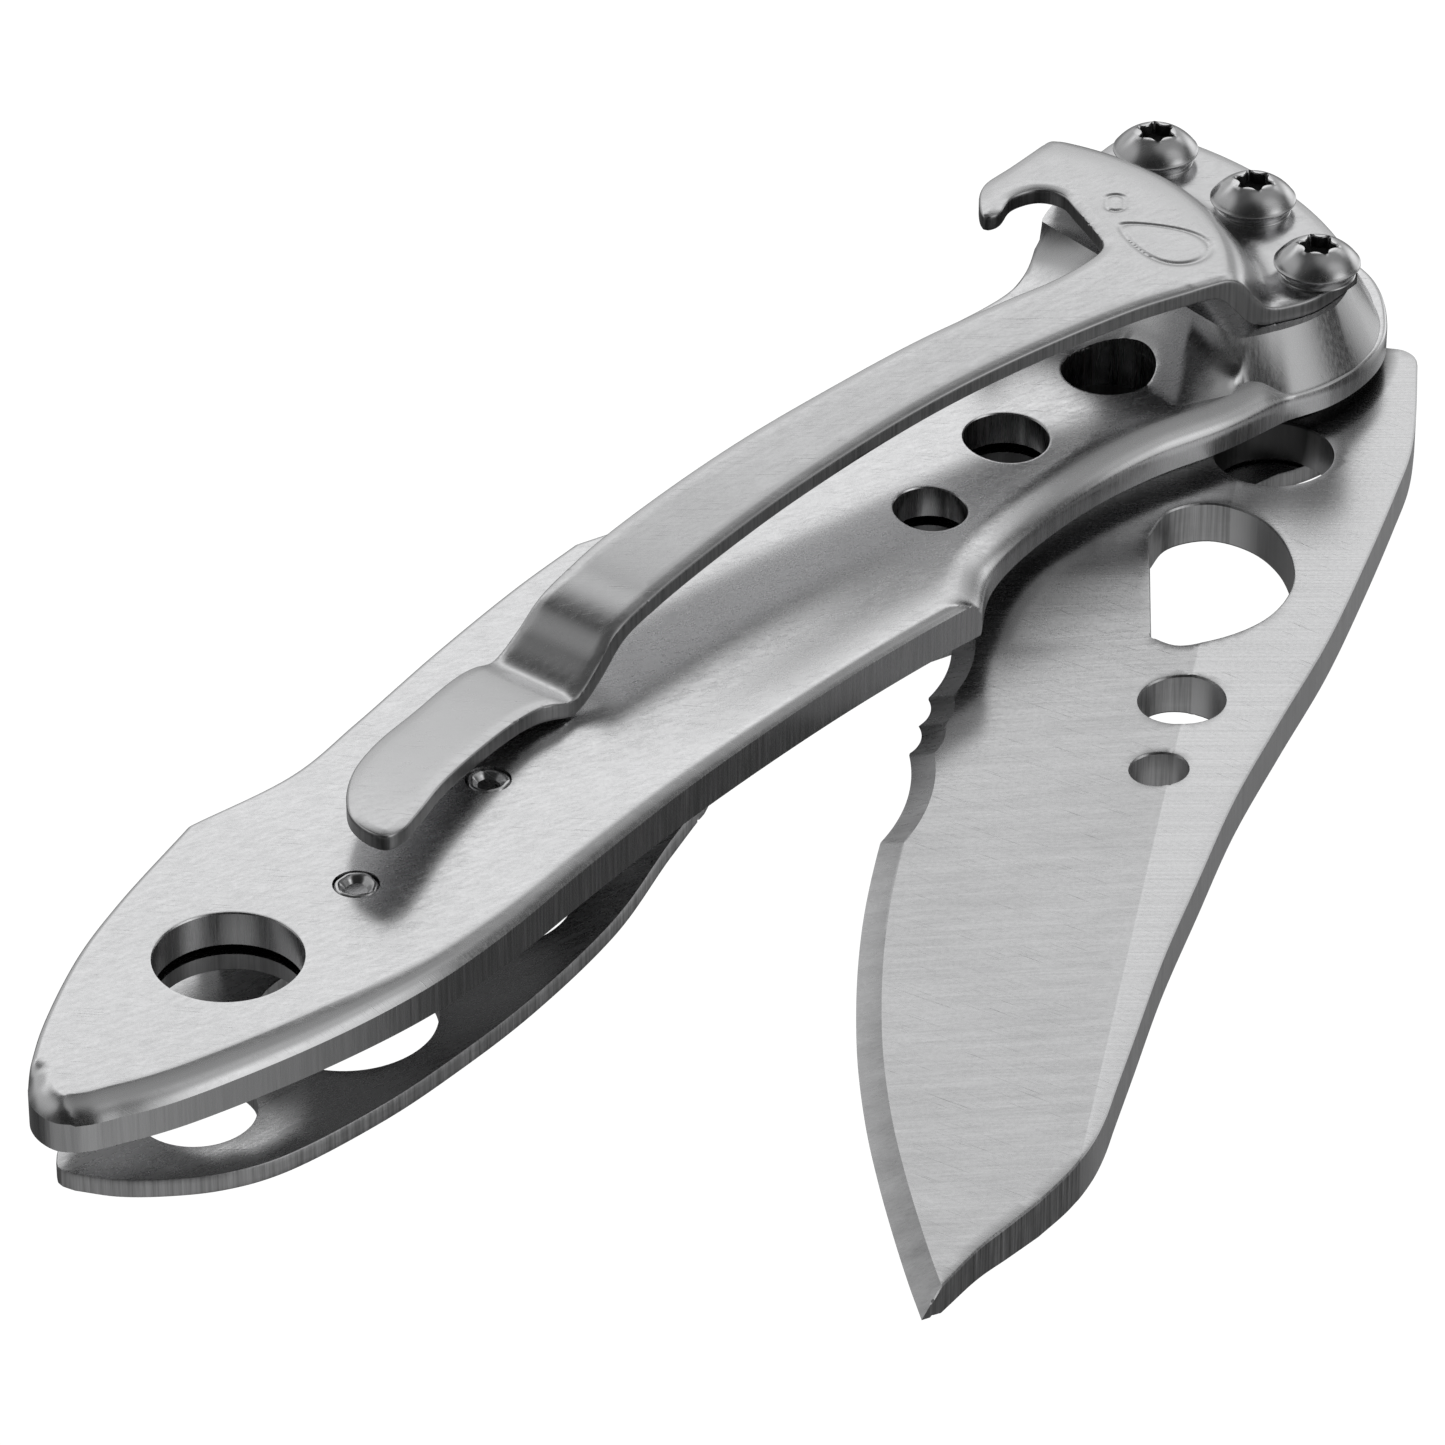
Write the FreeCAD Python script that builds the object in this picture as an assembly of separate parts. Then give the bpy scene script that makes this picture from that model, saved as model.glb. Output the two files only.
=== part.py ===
import FreeCAD, Part
import math
import os

V = FreeCAD.Vector

# Folding pocket knife, blade partly open, clip side up.
# Origin: lanyard hole axis on the top face of the front scale. +X runs to the pivot end,
# +Y to the spine side of the handle, +Z out of the clip side. Millimetres.

# ---- layers along Z ----
SCALE_T = 2.1          # front scale thickness
BEVEL_H = 0.5          # height of the bevel round the scale's top edge
POCKET_D = 0.5         # pocket in the underside of the front scale
LINER_T = 0.8          # liner under the front scale
WASHER_T = 0.1         # pivot washers
BLADE_T = 2.1          # blade stock
PLATE_T = 0.9          # back plate sheet
CLIP_T = 0.8           # clip sheet
BOSS_H = 2.1           # pivot boss above the scale's top face
CLIP_STEP = 2.1        # rise of the clip head above its base

Z_SCALE = -SCALE_T
Z_LINER = Z_SCALE - LINER_T
Z_BLADE = Z_LINER - WASHER_T
Z_BLADE_LOW = Z_BLADE - BLADE_T
Z_PLATE = Z_BLADE_LOW - WASHER_T
Z_PLATE_LOW = Z_PLATE - PLATE_T
Z_BASE_TOP = BOSS_H + CLIP_T
Z_HEAD_TOP = Z_BASE_TOP + CLIP_STEP

# ---- pivot and stop ----
PIVOT = (67.75, 0.87)
END_R = 8.65           # round pivot end of the handle
FAR_R = 8.5            # slightly tighter round on the far side of the end
BOSS_FOOT_H = 1.25     # boss cone starts this far above the scale's underside
FLANGE_LEAN = 0.08     # lean of the flange below the cone
BARREL_R = 2.4
BLADE_BORE_R = 2.44
WASHER_R = 4.9
TANG_R = 5.7
SHOULDER_R = 8.5
SHOULDER_ANGLE = 146.5  # meets the stop pin when the blade is closed
KICK_ANGLE = -50.3      # meets the stop pin when the blade is fully open
STOP_ORBIT_R = 6.9
STOP_ANGLE = 111.8
STOP_R = 1.0
BARREL_HEAD_R = 3.5     # countersunk flush in the back plate
PIVOT_SINK = 0.6        # depth of both countersinks
BARREL_TOP = 1.1
PIVOT_SCREW_R = 1.2
PIVOT_SCREW_HEAD_R = 1.9

# ---- holes in the handle ----
LANYARD_R = 3.13
RELIEF_HOLES = [(45.3, -0.8, 1.66), (52.05, 0.2, 1.95), (59.5, 0.08, 2.15)]
LINER_RIVETS = [(7.2, -0.6), (16.5, 0.2)]
RIVET_R = 1.0
PLATE_R = 8.2                # back plate about the pivot
PLATE_HOLES = [(-3.5, -1.2, 2.5), (5.3, -1.6, 3.83), (15.4, -0.2, 3.96)]

# ---- clip screws ----
CLIP_SCREWS = [(72.05, 7.0), (71.3, 0.8), (68.5, -4.9)]
SHANK_R = 0.8
SHANK_L = 3.0
HEAD_R = 2.0
HEAD_H = 1.1
COLLAR_R = 1.75
COLLAR_H = 0.55
LOBE_R = 0.25
LOBE_ORBIT_R = 0.62
RECESS_CORE_R = 0.66
RECESS_D = 0.75
PIVOT_RECESS_D = 0.7

# ---- clip ----
CLIP_CENTRE = (56.3, 5.83)   # common centre of the clip base's edge and its bend
CLIP_BASE_R = 18.15
BEND_TOP_R = 12.2
BEND_FOOT_R = 13.75
ARM_ROOT_X = 61.0
ARM_GAP = 0.05

# ---- lock bar ----
LOCK_ROOT_X = 26.5
LOCK_TOP_Y = 1.3
LOCK_TIP_X = 59.3
SLOT = 0.6
ROOT_GAP = 0.1
DETENT_R = 0.45
DETENT_GAP = 0.02      # ball to blade face
DETENT_AT = (57.6, -1.4)

# ---- spacer and its rivets ----
SPACER_PINS = [(7.5, 5.75), (27.0, 8.0)]
SPACER_PIN_R = 0.4


def polar(radius, degrees, centre=PIVOT):
    angle = math.radians(degrees)
    return (centre[0] + radius * math.cos(angle), centre[1] + radius * math.sin(angle))


def disc(x, y, radius, low, high):
    return Part.makeCylinder(radius, high - low, V(x, y, low))


def spline(points, z):
    curve = Part.BSplineCurve()
    curve.interpolate([V(x, y, z) for x, y in points])
    return curve.toShape()


def line(a, b, z):
    return Part.makeLine(V(a[0], a[1], z), V(b[0], b[1], z))


def arc(centre, radius, start, end, z):
    middle = polar(radius, (start + end) / 2, centre)
    first = polar(radius, start, centre)
    last = polar(radius, end, centre)
    return Part.Arc(V(*first, z), V(*middle, z), V(*last, z)).toShape()


def prism(edges, height):
    face = Part.Face(Part.Wire(Part.__sortEdges__(edges)))
    return face.extrude(V(0, 0, height))


def polygon_prism(points, low, high):
    wire = Part.makePolygon([V(x, y, low) for x, y in points + points[:1]])
    return Part.Face(wire).extrude(V(0, 0, high - low))


def inset_paths(paths, key):
    """Move every outline point inwards by its own inset; neighbours set the direction."""
    ring = [p for path in paths for p in path[:-1]]
    moved = {}
    for i, point in enumerate(ring):
        before = ring[i - 1]
        after = ring[(i + 1) % len(ring)]
        dx, dy = after[0] - before[0], after[1] - before[1]
        size = math.hypot(dx, dy)
        depth = point[2][key]
        moved[point[:2]] = (point[0] - dy / size * depth, point[1] + dx / size * depth)
    return [[moved[p[:2]] for p in path] for path in paths]


def level_wire(paths, key, z):
    edges = [spline(path, z) for path in inset_paths(paths, key)]
    return Part.Wire(edges)


# ---------------------------------------------------------------- handle outline

TAIL = {"low": 0.0, "mid": 0.0, "top": 1.05, "liner": 1.3, "pocket": 1.6}
CHOIL = {"low": 0.0, "mid": 0.7, "top": 1.05, "liner": 1.3, "pocket": 2.2}
ROUND = {"low": 0.0, "mid": 0.4, "top": 0.75, "liner": 1.3, "pocket": 1.6}
FAR = {"low": 0.0, "mid": 0.7, "top": 1.05, "liner": 1.3, "pocket": 1.6}
SPINE = {"low": 0.0, "mid": 0.0, "top": 0.3, "liner": 0.6, "pocket": 1.5}
CAP = {"low": 0.0, "mid": 0.0, "top": 0.7, "liner": 1.1, "pocket": 1.5}


def tagged(points, tag):
    return [(x, y, tag) for x, y in points]


def scale_paths():
    """Outline of the front scale's bottom edge, counter-clockwise, as smooth runs."""
    nose_low = (-11.71, -2.4, CAP)
    choil_start = (41.0, -7.05, TAIL)
    round_start = polar(END_R, 243) + (ROUND,)
    far_start = polar(FAR_R, 333) + (FAR,)
    crown = (72.4, 9.5, SPINE)
    step_foot = (34.7, 8.8, SPINE)
    step_top = (33.2, 9.4, SPINE)
    hump = (6.0, 7.75, SPINE)
    nose_high = (-11.08, 0.83, CAP)
    tail = [nose_low] + tagged([(-11.13, -2.85), (-10.18, -3.32), (-8.85, -3.99), (-6.95, -4.72),
                                (-1.3, -6.25), (4.3, -7.15), (9.3, -7.2), (14.9, -6.75),
                                (22.4, -6.3), (31.2, -6.3), (37.4, -6.65)], TAIL) + [choil_start]
    choil = [choil_start] + tagged([(43.7, -5.45), (46.8, -4.7), (52.0, -4.5), (56.2, -5.1),
                                    (60.0, -6.2)], CHOIL) + [round_start]
    low_end = [round_start] + [polar(END_R, a) + (ROUND,) for a in (260, 277, 292)]
    low_end += [polar(FAR_R, a) + (FAR,) for a in (306, 320)] + [far_start]
    far_end = [far_start, (76.0, -0.4, FAR), (76.5, 3.6, FAR), (75.4, 7.6, ROUND), crown]
    fore_spine = [crown] + tagged([(68.8, 9.3), (65.2, 8.6), (62.2, 7.95), (60.4, 7.95), (57.5, 8.25),
                                   (50.0, 8.8), (42.0, 9.0)], SPINE) + [step_foot]
    rear_spine = [step_top] + tagged([(28.7, 9.15), (22.5, 8.45), (16.2, 7.5), (11.6, 6.95)], SPINE) + [hump]
    nose_spine = [hump] + tagged([(0.0, 6.2), (-3.8, 4.9), (-8.4, 2.6)], SPINE) + [nose_high]
    return [tail, choil, low_end, far_end, fore_spine, [step_foot, step_top], rear_spine, nose_spine,
            [nose_high, (-11.77, 0.08, CAP), (-12.12, -0.76, CAP), (-12.13, -1.7, CAP), nose_low]]


def ramp_region(shift):
    """Everything to the pivot side of the concave ramp that climbs from scale to boss."""
    low = Z_SCALE
    profile = [Part.makeLine(V(-5.2, 0, low), V(-5.2, 0, 0)),
               Part.Arc(V(-5.2, 0, 0), V(-1.7, 0, 0.42), V(0, 0, BOSS_H)).toShape(),
               Part.makeLine(V(0, 0, BOSS_H), V(0, 0, BOSS_H + 0.01)),
               Part.makeLine(V(0, 0, BOSS_H + 0.01), V(20, 0, BOSS_H + 0.01)),
               Part.makeLine(V(20, 0, BOSS_H + 0.01), V(20, 0, low)),
               Part.makeLine(V(20, 0, low), V(-5.2, 0, low))]
    face = Part.Face(Part.Wire(profile))
    reach = 24.0
    lean = math.tan(math.radians(11))
    solid = face.extrude(V(reach * lean, reach, 0))
    solid.translate(V(shift, -8.0, 0))
    return solid


def boss():
    """Tapered pivot boss: round at the foot, leaning in to the clip base's edge at the top."""
    foot = [(-115, 8.5), (-90, 8.55), (-75, 8.5), (-61, 8.3), (-48, 7.97), (-35, 7.95),
            (-24, 8.1), (-12, 8.4), (4, 8.7), (20, 8.9), (42, 9.0), (62, 8.9), (88, 8.5),
            (115, 8.0), (150, 7.6), (190, 7.6), (222, 8.0)]
    crown = [(-118, 7.45), (-90, 7.4), (-75, 7.1), (-61, 6.6), (-46, 6.2), (-33, 6.15),
             (-22, 6.2), (-10, 6.35), (4, 6.8), (18, 7.5), (38, 8.7), (58, 8.8), (88, 8.3),
             (115, 7.9), (150, 7.4), (190, 7.4), (220, 7.7)]
    flange = [(angle, radius + FLANGE_LEAN) for angle, radius in foot]
    rings = []
    for ring, z in ((flange, Z_SCALE), (foot, Z_SCALE + BOSS_FOOT_H), (crown, BOSS_H)):
        curve = Part.BSplineCurve()
        curve.interpolate(Points=[V(*polar(r, a), z) for a, r in ring], PeriodicFlag=True)
        rings.append(Part.Wire(curve.toShape()))
    solid = Part.makeLoft(rings, True, True)
    return solid.common(ramp_region(62.1))


def front_scale():
    paths = scale_paths()
    wires = [level_wire(paths, "low", Z_SCALE), level_wire(paths, "mid", -BEVEL_H),
             level_wire(paths, "top", 0.0)]
    body = Part.makeLoft(wires[:2], True, True).fuse(Part.makeLoft(wires[1:], True, True))
    body = body.fuse(boss()).removeSplitter()
    pocket = Part.Face(level_wire(paths, "pocket", Z_SCALE)).extrude(V(0, 0, POCKET_D))
    for x, y in LINER_RIVETS + SPACER_PINS:
        pocket = pocket.cut(disc(x, y, RIVET_R + 0.8, Z_SCALE, 0))
    pocket = pocket.cut(disc(*PIVOT, 7.9, Z_SCALE, 0))
    body = body.cut(pocket)
    cuts = [disc(0, 0, LANYARD_R, Z_SCALE, 1)]
    cuts += [disc(x, y, r, Z_SCALE, 1) for x, y, r in RELIEF_HOLES]
    cuts += [disc(x, y, RIVET_R, Z_SCALE, 1) for x, y in LINER_RIVETS]
    cuts += [disc(x, y, SPACER_PIN_R, Z_SCALE, -0.7) for x, y in SPACER_PINS]
    cuts += [disc(x, y, SHANK_R, BOSS_H - SHANK_L, BOSS_H + 1) for x, y in CLIP_SCREWS]
    cuts.append(disc(*PIVOT, BARREL_R, Z_SCALE, BARREL_TOP))
    cuts.append(disc(*polar(STOP_ORBIT_R, STOP_ANGLE), STOP_R, Z_SCALE, -0.5))
    for cut in cuts:
        body = body.cut(cut)
    return body


def liner():
    wire = level_wire(scale_paths(), "liner", Z_LINER)
    body = Part.Face(wire).extrude(V(0, 0, LINER_T))
    body = body.cut(disc(0, 0, LANYARD_R, Z_LINER, Z_SCALE))
    for x, y, r in RELIEF_HOLES:
        body = body.cut(disc(x, y, r, Z_LINER, Z_SCALE))
    for x, y in LINER_RIVETS:
        body = body.cut(disc(x, y, RIVET_R, Z_LINER, Z_SCALE))
    for x, y in SPACER_PINS:
        body = body.cut(disc(x, y, SPACER_PIN_R, Z_LINER, Z_SCALE))
    body = body.cut(disc(*PIVOT, BARREL_R, Z_LINER, Z_SCALE))
    return body.cut(disc(*polar(STOP_ORBIT_R, STOP_ANGLE), STOP_R, Z_LINER, Z_SCALE))


def liner_rivet(x, y):
    """Staked rivet, its end dished inside a raised ring just under the scale's face."""
    body = disc(x, y, RIVET_R, Z_LINER, -0.05)
    dish = Part.makeCone(0.45, 0.75, 0.25, V(x, y, -0.3))
    return body.cut(dish)


# ---------------------------------------------------------------- back plate and lock bar

def plate_face(z):
    """Back plate outline: full round tail, cut back under the handle's waist."""
    round_low = polar(PLATE_R, 243)
    round_high = polar(8.4, 100)
    edges = [spline([(-9.9, -0.35), (-9.1, -1.95), (-7.8, -3.5), (-6.1, -4.95), (-3.8, -6.05), (1.6, -6.9),
                     (6.2, -7.0), (11.2, -6.75), (17.9, -5.7), (23.9, -3.8), (28.5, -2.6)], z),
             spline([(28.5, -2.6), (35.0, -2.2), (41.0, -2.6), (44.5, -3.6)], z),
             spline([(44.5, -3.6), (48.0, -3.9), (53.0, -4.0), (58.5, -5.0), (61.5, -5.9), round_low], z),
             arc(PIVOT, PLATE_R, 243, 350, z),
             spline([polar(PLATE_R, 350), (75.6, 3.2), (74.2, 7.0), (71.0, 8.9), round_high], z),
             spline([round_high, (62.0, 7.7), (54.0, 7.8), (44.0, 8.3), (33.0, 8.8), (22.5, 8.1),
                     (11.6, 6.5), (5.8, 7.0)], z),
             spline([(5.8, 7.0), (0.0, 5.6), (-6.0, 3.4), (-9.4, 1.1)], z),
             spline([(-9.4, 1.1), (-10.0, 0.45), (-9.9, -0.35)], z)]
    return Part.Face(Part.Wire(edges))


def lock_outline(grow):
    low = -9.0
    top = LOCK_TOP_Y + grow
    return [(LOCK_ROOT_X - (ROOT_GAP if grow else 0), low), (LOCK_TIP_X + grow, low),
            (LOCK_TIP_X + grow - 0.9, top), (LOCK_ROOT_X - (ROOT_GAP if grow else 0), top)]


def lock_bar():
    body = plate_face(Z_PLATE_LOW).extrude(V(0, 0, PLATE_T))
    body = body.common(polygon_prism(lock_outline(0), Z_PLATE_LOW, Z_PLATE))
    groove = Part.makeCylinder(1.0, 20, V(LOCK_ROOT_X + 1.6, -10, Z_PLATE_LOW - 0.6), V(0, 1, 0))
    body = body.cut(groove)
    return body.cut(disc(*DETENT_AT, DETENT_R, Z_PLATE_LOW, Z_PLATE))


def detent_ball():
    return Part.makeSphere(DETENT_R, V(*DETENT_AT, Z_BLADE_LOW - DETENT_GAP - DETENT_R))


def back_plate():
    body = plate_face(Z_PLATE_LOW).extrude(V(0, 0, PLATE_T))
    body = body.cut(polygon_prism(lock_outline(SLOT), Z_PLATE_LOW - 1, Z_PLATE + 1))
    for x, y, r in PLATE_HOLES:
        body = body.cut(disc(x, y, r, Z_PLATE_LOW, Z_PLATE))
    for x, y in SPACER_PINS:
        body = body.cut(disc(x, y, SPACER_PIN_R, Z_PLATE_LOW, Z_PLATE))
        body = body.cut(Part.makeCone(1.0, SPACER_PIN_R, 0.5, V(x, y, Z_PLATE_LOW)))
    body = body.cut(disc(*PIVOT, BARREL_R, Z_PLATE_LOW, Z_PLATE))
    body = body.cut(Part.makeCone(BARREL_HEAD_R, BARREL_R, PIVOT_SINK, V(*PIVOT, Z_PLATE_LOW)))
    return body.cut(disc(*polar(STOP_ORBIT_R, STOP_ANGLE), STOP_R, Z_PLATE_LOW, Z_PLATE))


def spacer():
    """Back spacer along the spine side, between liner and back plate."""
    outer = [(4.8, 6.4), (6.4, 6.5), (8.6, 6.3), (11.6, 6.3), (16.2, 6.9),
             (22.5, 7.85), (28.7, 8.45), (33.0, 8.6)]
    inner = [(33.0, 8.05), (28.7, 7.72), (24.5, 7.0), (18.0, 6.3), (11.6, 5.5), (8.0, 5.1), (4.8, 5.0)]
    edges = [spline(outer, Z_PLATE), line(outer[-1], inner[0], Z_PLATE),
             spline(inner, Z_PLATE), line(inner[-1], outer[0], Z_PLATE)]
    body = prism(edges, Z_LINER - Z_PLATE)
    for x, y in SPACER_PINS:
        body = body.cut(disc(x, y, SPACER_PIN_R, Z_PLATE, Z_LINER))
    return body


def spacer_pin(x, y):
    """Countersunk rivet from the back plate through the spacer into the front scale."""
    body = disc(x, y, SPACER_PIN_R, Z_PLATE_LOW, -0.7)
    return body.fuse(Part.makeCone(1.0, SPACER_PIN_R, 0.5, V(x, y, Z_PLATE_LOW)))


# ---------------------------------------------------------------- blade

BLADE_TIP = (3.26, -33.66)
GRIND_START = (15.6, -32.25)
GRIND_ANGLE = 29.6
GRIND_SLOPE = 0.072
BEVEL_W = 1.05         # width of the sharpening bevel
EDGE_POINTS = [BLADE_TIP, (4.77, -31.79), (7.27, -28.87), (9.43, -26.47), (11.65, -24.15), (14.9, -21.1),
               (18.3, -18.3), (21.4, -16.0), (24.4, -14.0), (28.7, -11.45), (33.2, -9.05), (37.2, -6.95),
               (41.2, -4.8), (45.8, -2.4)]
CUSPS = [(27.96, -11.87), (34.0, -8.62), (35.96, -7.6), (37.9, -6.58), (42.6, -4.05), (44.4, -3.13)]
SCALLOP_DEPTH = 0.2    # depth of a short scallop
SCALLOP_GAIN = 0.05    # extra depth per millimetre of its length


def blade_outline(z):
    shoulder_foot = polar(TANG_R, SHOULDER_ANGLE)
    shoulder_tip = polar(SHOULDER_R, SHOULDER_ANGLE)
    kick_foot = polar(TANG_R, KICK_ANGLE)
    kick_tip = polar(SHOULDER_R, KICK_ANGLE)
    return [spline(EDGE_POINTS, z),
            line(EDGE_POINTS[-1], shoulder_tip, z),
            line(shoulder_tip, shoulder_foot, z),
            arc(PIVOT, TANG_R, SHOULDER_ANGLE, KICK_ANGLE, z),
            line(kick_foot, kick_tip, z),
            spline([kick_tip, (73.55, -6.5), (73.4, -7.25), (72.9, -7.75)], z),
            spline([(72.9, -7.75), (68.9, -10.5), (66.3, -12.05), (63.2, -13.45), (57.75, -15.75),
                    (51.4, -18.25), (45.0, -20.35), (39.0, -22.4), (33.2, -24.8), (27.6, -27.15),
                    (22.4, -29.6), (19.1, -31.15), (17.3, -32.0), (15.68, -32.6), (13.67, -33.05),
                    (11.4, -33.25)], z),
            spline([(11.4, -33.25), (9.4, -33.22), (7.6, -33.18), (5.4, -33.4), BLADE_TIP], z)]


def thumb_hole():
    """D-shaped thumb opening: one straight side, the rest a rounded bow."""
    start = (47.0, -11.9)
    end = (53.4, -6.95)
    bow = [end, (55.5, -6.5), (57.2, -7.5), (57.65, -9.5), (56.8, -11.8), (54.4, -14.2), (51.4, -15.05),
           (48.8, -14.5), (47.1, -13.3), start]
    return prism([line(start, end, Z_BLADE_LOW), spline(bow, Z_BLADE_LOW)], BLADE_T)


def grind_wedge(side):
    """Wedge removed by the flat grind on one side of the blade, ending in a round plunge."""
    length = 60.0
    reach = 16.0
    depth = reach * GRIND_SLOPE
    z = Z_BLADE if side > 0 else Z_BLADE_LOW
    section = Part.makePolygon([V(0, 0, z), V(0, reach, z), V(0, reach, z - side * depth), V(0, 0, z)])
    wedge = Part.Face(section).extrude(V(length, 0, 0))
    wedge.translate(V(-length + 47.5, 0, 0))
    wedge.rotate(V(0, 0, 0), V(0, 0, 1), GRIND_ANGLE)
    wedge.translate(V(GRIND_START[0], GRIND_START[1], 0))
    return wedge


def bevel_cutter(side):
    """Waste of the sharpening bevel: triangles across the edge, lofted from tip to heel."""
    middle = Z_BLADE - BLADE_T / 2
    face = Z_BLADE if side > 0 else Z_BLADE_LOW
    along = math.radians(GRIND_ANGLE)
    first = (EDGE_POINTS[0][0] - 0.8, EDGE_POINTS[0][1] - 0.93)
    stations = [first] + EDGE_POINTS[1:]
    rings = []
    for i, point in enumerate(stations):
        before = stations[max(i - 1, 0)]
        after = stations[min(i + 1, len(stations) - 1)]
        size = math.hypot(after[0] - before[0], after[1] - before[1])
        nx, ny = (after[1] - before[1]) / size, -(after[0] - before[0]) / size
        inner = (point[0] + nx * BEVEL_W, point[1] + ny * BEVEL_W)
        across = (-(inner[0] - GRIND_START[0]) * math.sin(along)
                  + (inner[1] - GRIND_START[1]) * math.cos(along))
        z_inner = face - side * GRIND_SLOPE * max(across, 0)
        outer = (point[0] - nx * 0.3, point[1] - ny * 0.3)
        rings.append(Part.makePolygon([V(*outer, middle), V(*inner, z_inner), V(*outer, face + side * 0.5),
                                       V(*outer, middle)]))
    return Part.makeLoft(rings, True, True)


def serration_cutters():
    """Scallops of the serrated part: round bites between successive cusps."""
    cutters = []
    for first, last in zip(CUSPS[:-1], CUSPS[1:]):
        chord = math.hypot(last[0] - first[0], last[1] - first[1])
        sag = SCALLOP_DEPTH + SCALLOP_GAIN * chord
        radius = (chord * chord / 4 + sag * sag) / (2 * sag)
        mx, my = (first[0] + last[0]) / 2, (first[1] + last[1]) / 2
        nx, ny = -(last[1] - first[1]) / chord, (last[0] - first[0]) / chord
        off = radius - sag
        cutters.append(disc(mx + nx * off, my + ny * off, radius, Z_BLADE_LOW - 1, Z_BLADE + 1))
    return cutters


def blade():
    body = prism(blade_outline(Z_BLADE_LOW), BLADE_T)
    for side in (1, -1):
        body = body.cut(grind_wedge(side))
    for side in (1, -1):
        body = body.cut(bevel_cutter(side))
    for cutter in serration_cutters():
        body = body.cut(cutter)
    body = body.cut(thumb_hole())
    for x, y, r in ((62.4, -7.2, 2.73), (43.7, -16.05, 1.9), (38.8, -18.5, 1.27)):
        body = body.cut(disc(x, y, r, Z_BLADE_LOW, Z_BLADE))
    return body.cut(disc(*PIVOT, BLADE_BORE_R, Z_BLADE_LOW, Z_BLADE))


# ---------------------------------------------------------------- pivot hardware

def washer(low):
    return disc(*PIVOT, WASHER_R, low, low + WASHER_T).cut(disc(*PIVOT, BARREL_R, low, low + WASHER_T))


def pivot_barrel():
    """Barrel nut with a head countersunk flush in the back plate."""
    body = disc(*PIVOT, BARREL_R, Z_PLATE_LOW, BARREL_TOP)
    body = body.fuse(Part.makeCone(BARREL_HEAD_R, BARREL_R, PIVOT_SINK, V(*PIVOT, Z_PLATE_LOW)))
    body = body.cut(disc(*PIVOT, PIVOT_SCREW_R, Z_PLATE_LOW, Z_SCALE))
    return body.cut(Part.makeCone(PIVOT_SCREW_HEAD_R, PIVOT_SCREW_R, PIVOT_SINK, V(*PIVOT, Z_PLATE_LOW)))


def pivot_screw():
    """Flat-head screw sunk flush in the barrel's head."""
    body = disc(*PIVOT, PIVOT_SCREW_R, Z_PLATE_LOW, Z_SCALE)
    body = body.fuse(Part.makeCone(PIVOT_SCREW_HEAD_R, PIVOT_SCREW_R, PIVOT_SINK, V(*PIVOT, Z_PLATE_LOW)))
    return body.cut(six_lobe(*PIVOT, Z_PLATE_LOW, Z_PLATE_LOW + PIVOT_RECESS_D))


def stop_pin():
    return disc(*polar(STOP_ORBIT_R, STOP_ANGLE), STOP_R, Z_PLATE_LOW, -0.5)


# ---------------------------------------------------------------- clip

def six_lobe(x, y, low, high):
    socket = disc(x, y, RECESS_CORE_R, low, high)
    for k in range(6):
        cx, cy = polar(LOBE_ORBIT_R, 60 * k, (x, y))
        socket = socket.fuse(disc(cx, cy, LOBE_R, low, high))
    return socket


def clip_screw(x, y):
    """Domed button-head screw with a six-lobe socket."""
    top = Z_BASE_TOP + COLLAR_H
    sphere_r = (HEAD_R ** 2 + HEAD_H ** 2) / (2 * HEAD_H)
    dome = Part.makeSphere(sphere_r, V(x, y, top + HEAD_H - sphere_r))
    dome = dome.common(disc(x, y, HEAD_R, top, top + HEAD_H + 1))
    body = dome.fuse(disc(x, y, COLLAR_R, Z_BASE_TOP, top)).fuse(disc(x, y, SHANK_R, BOSS_H - SHANK_L, top))
    body = body.removeSplitter()
    return body.cut(six_lobe(x, y, top + HEAD_H - RECESS_D, top + HEAD_H + 0.2))


def clip_head_plan(z):
    """Base, bend and opener hook seen from above."""
    base_low = polar(CLIP_BASE_R, -41.5, CLIP_CENTRE)
    base_high = polar(CLIP_BASE_R, 6.5, CLIP_CENTRE)
    return [arc(CLIP_CENTRE, CLIP_BASE_R, -41.5, 6.5, z),
            spline([base_high, (73.95, 8.75), (73.1, 9.4), (72.1, 9.55), (70.9, 9.5), (69.4, 9.75),
                    (67.6, 9.8)], z),
            spline([(67.6, 9.8), (66.0, 9.7), (64.4, 9.65), (62.4, 9.6), (61.4, 9.15), (60.2, 8.1)], z),
            spline([(60.2, 8.1), (60.05, 7.75), (60.35, 7.5), (60.8, 7.45)], z),
            spline([(60.8, 7.45), (62.2, 7.85), (63.5, 7.35), (63.85, 6.3), (63.3, 5.1), (62.4, 3.45),
                    (61.6, 2.2), (61.0, 1.85)], z),
            line((61.0, 1.85), (61.0, -3.6), z),
            spline([(61.0, -3.6), (63.0, -4.35), (64.6, -5.3), (66.6, -6.15), base_low], z)]


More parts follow.
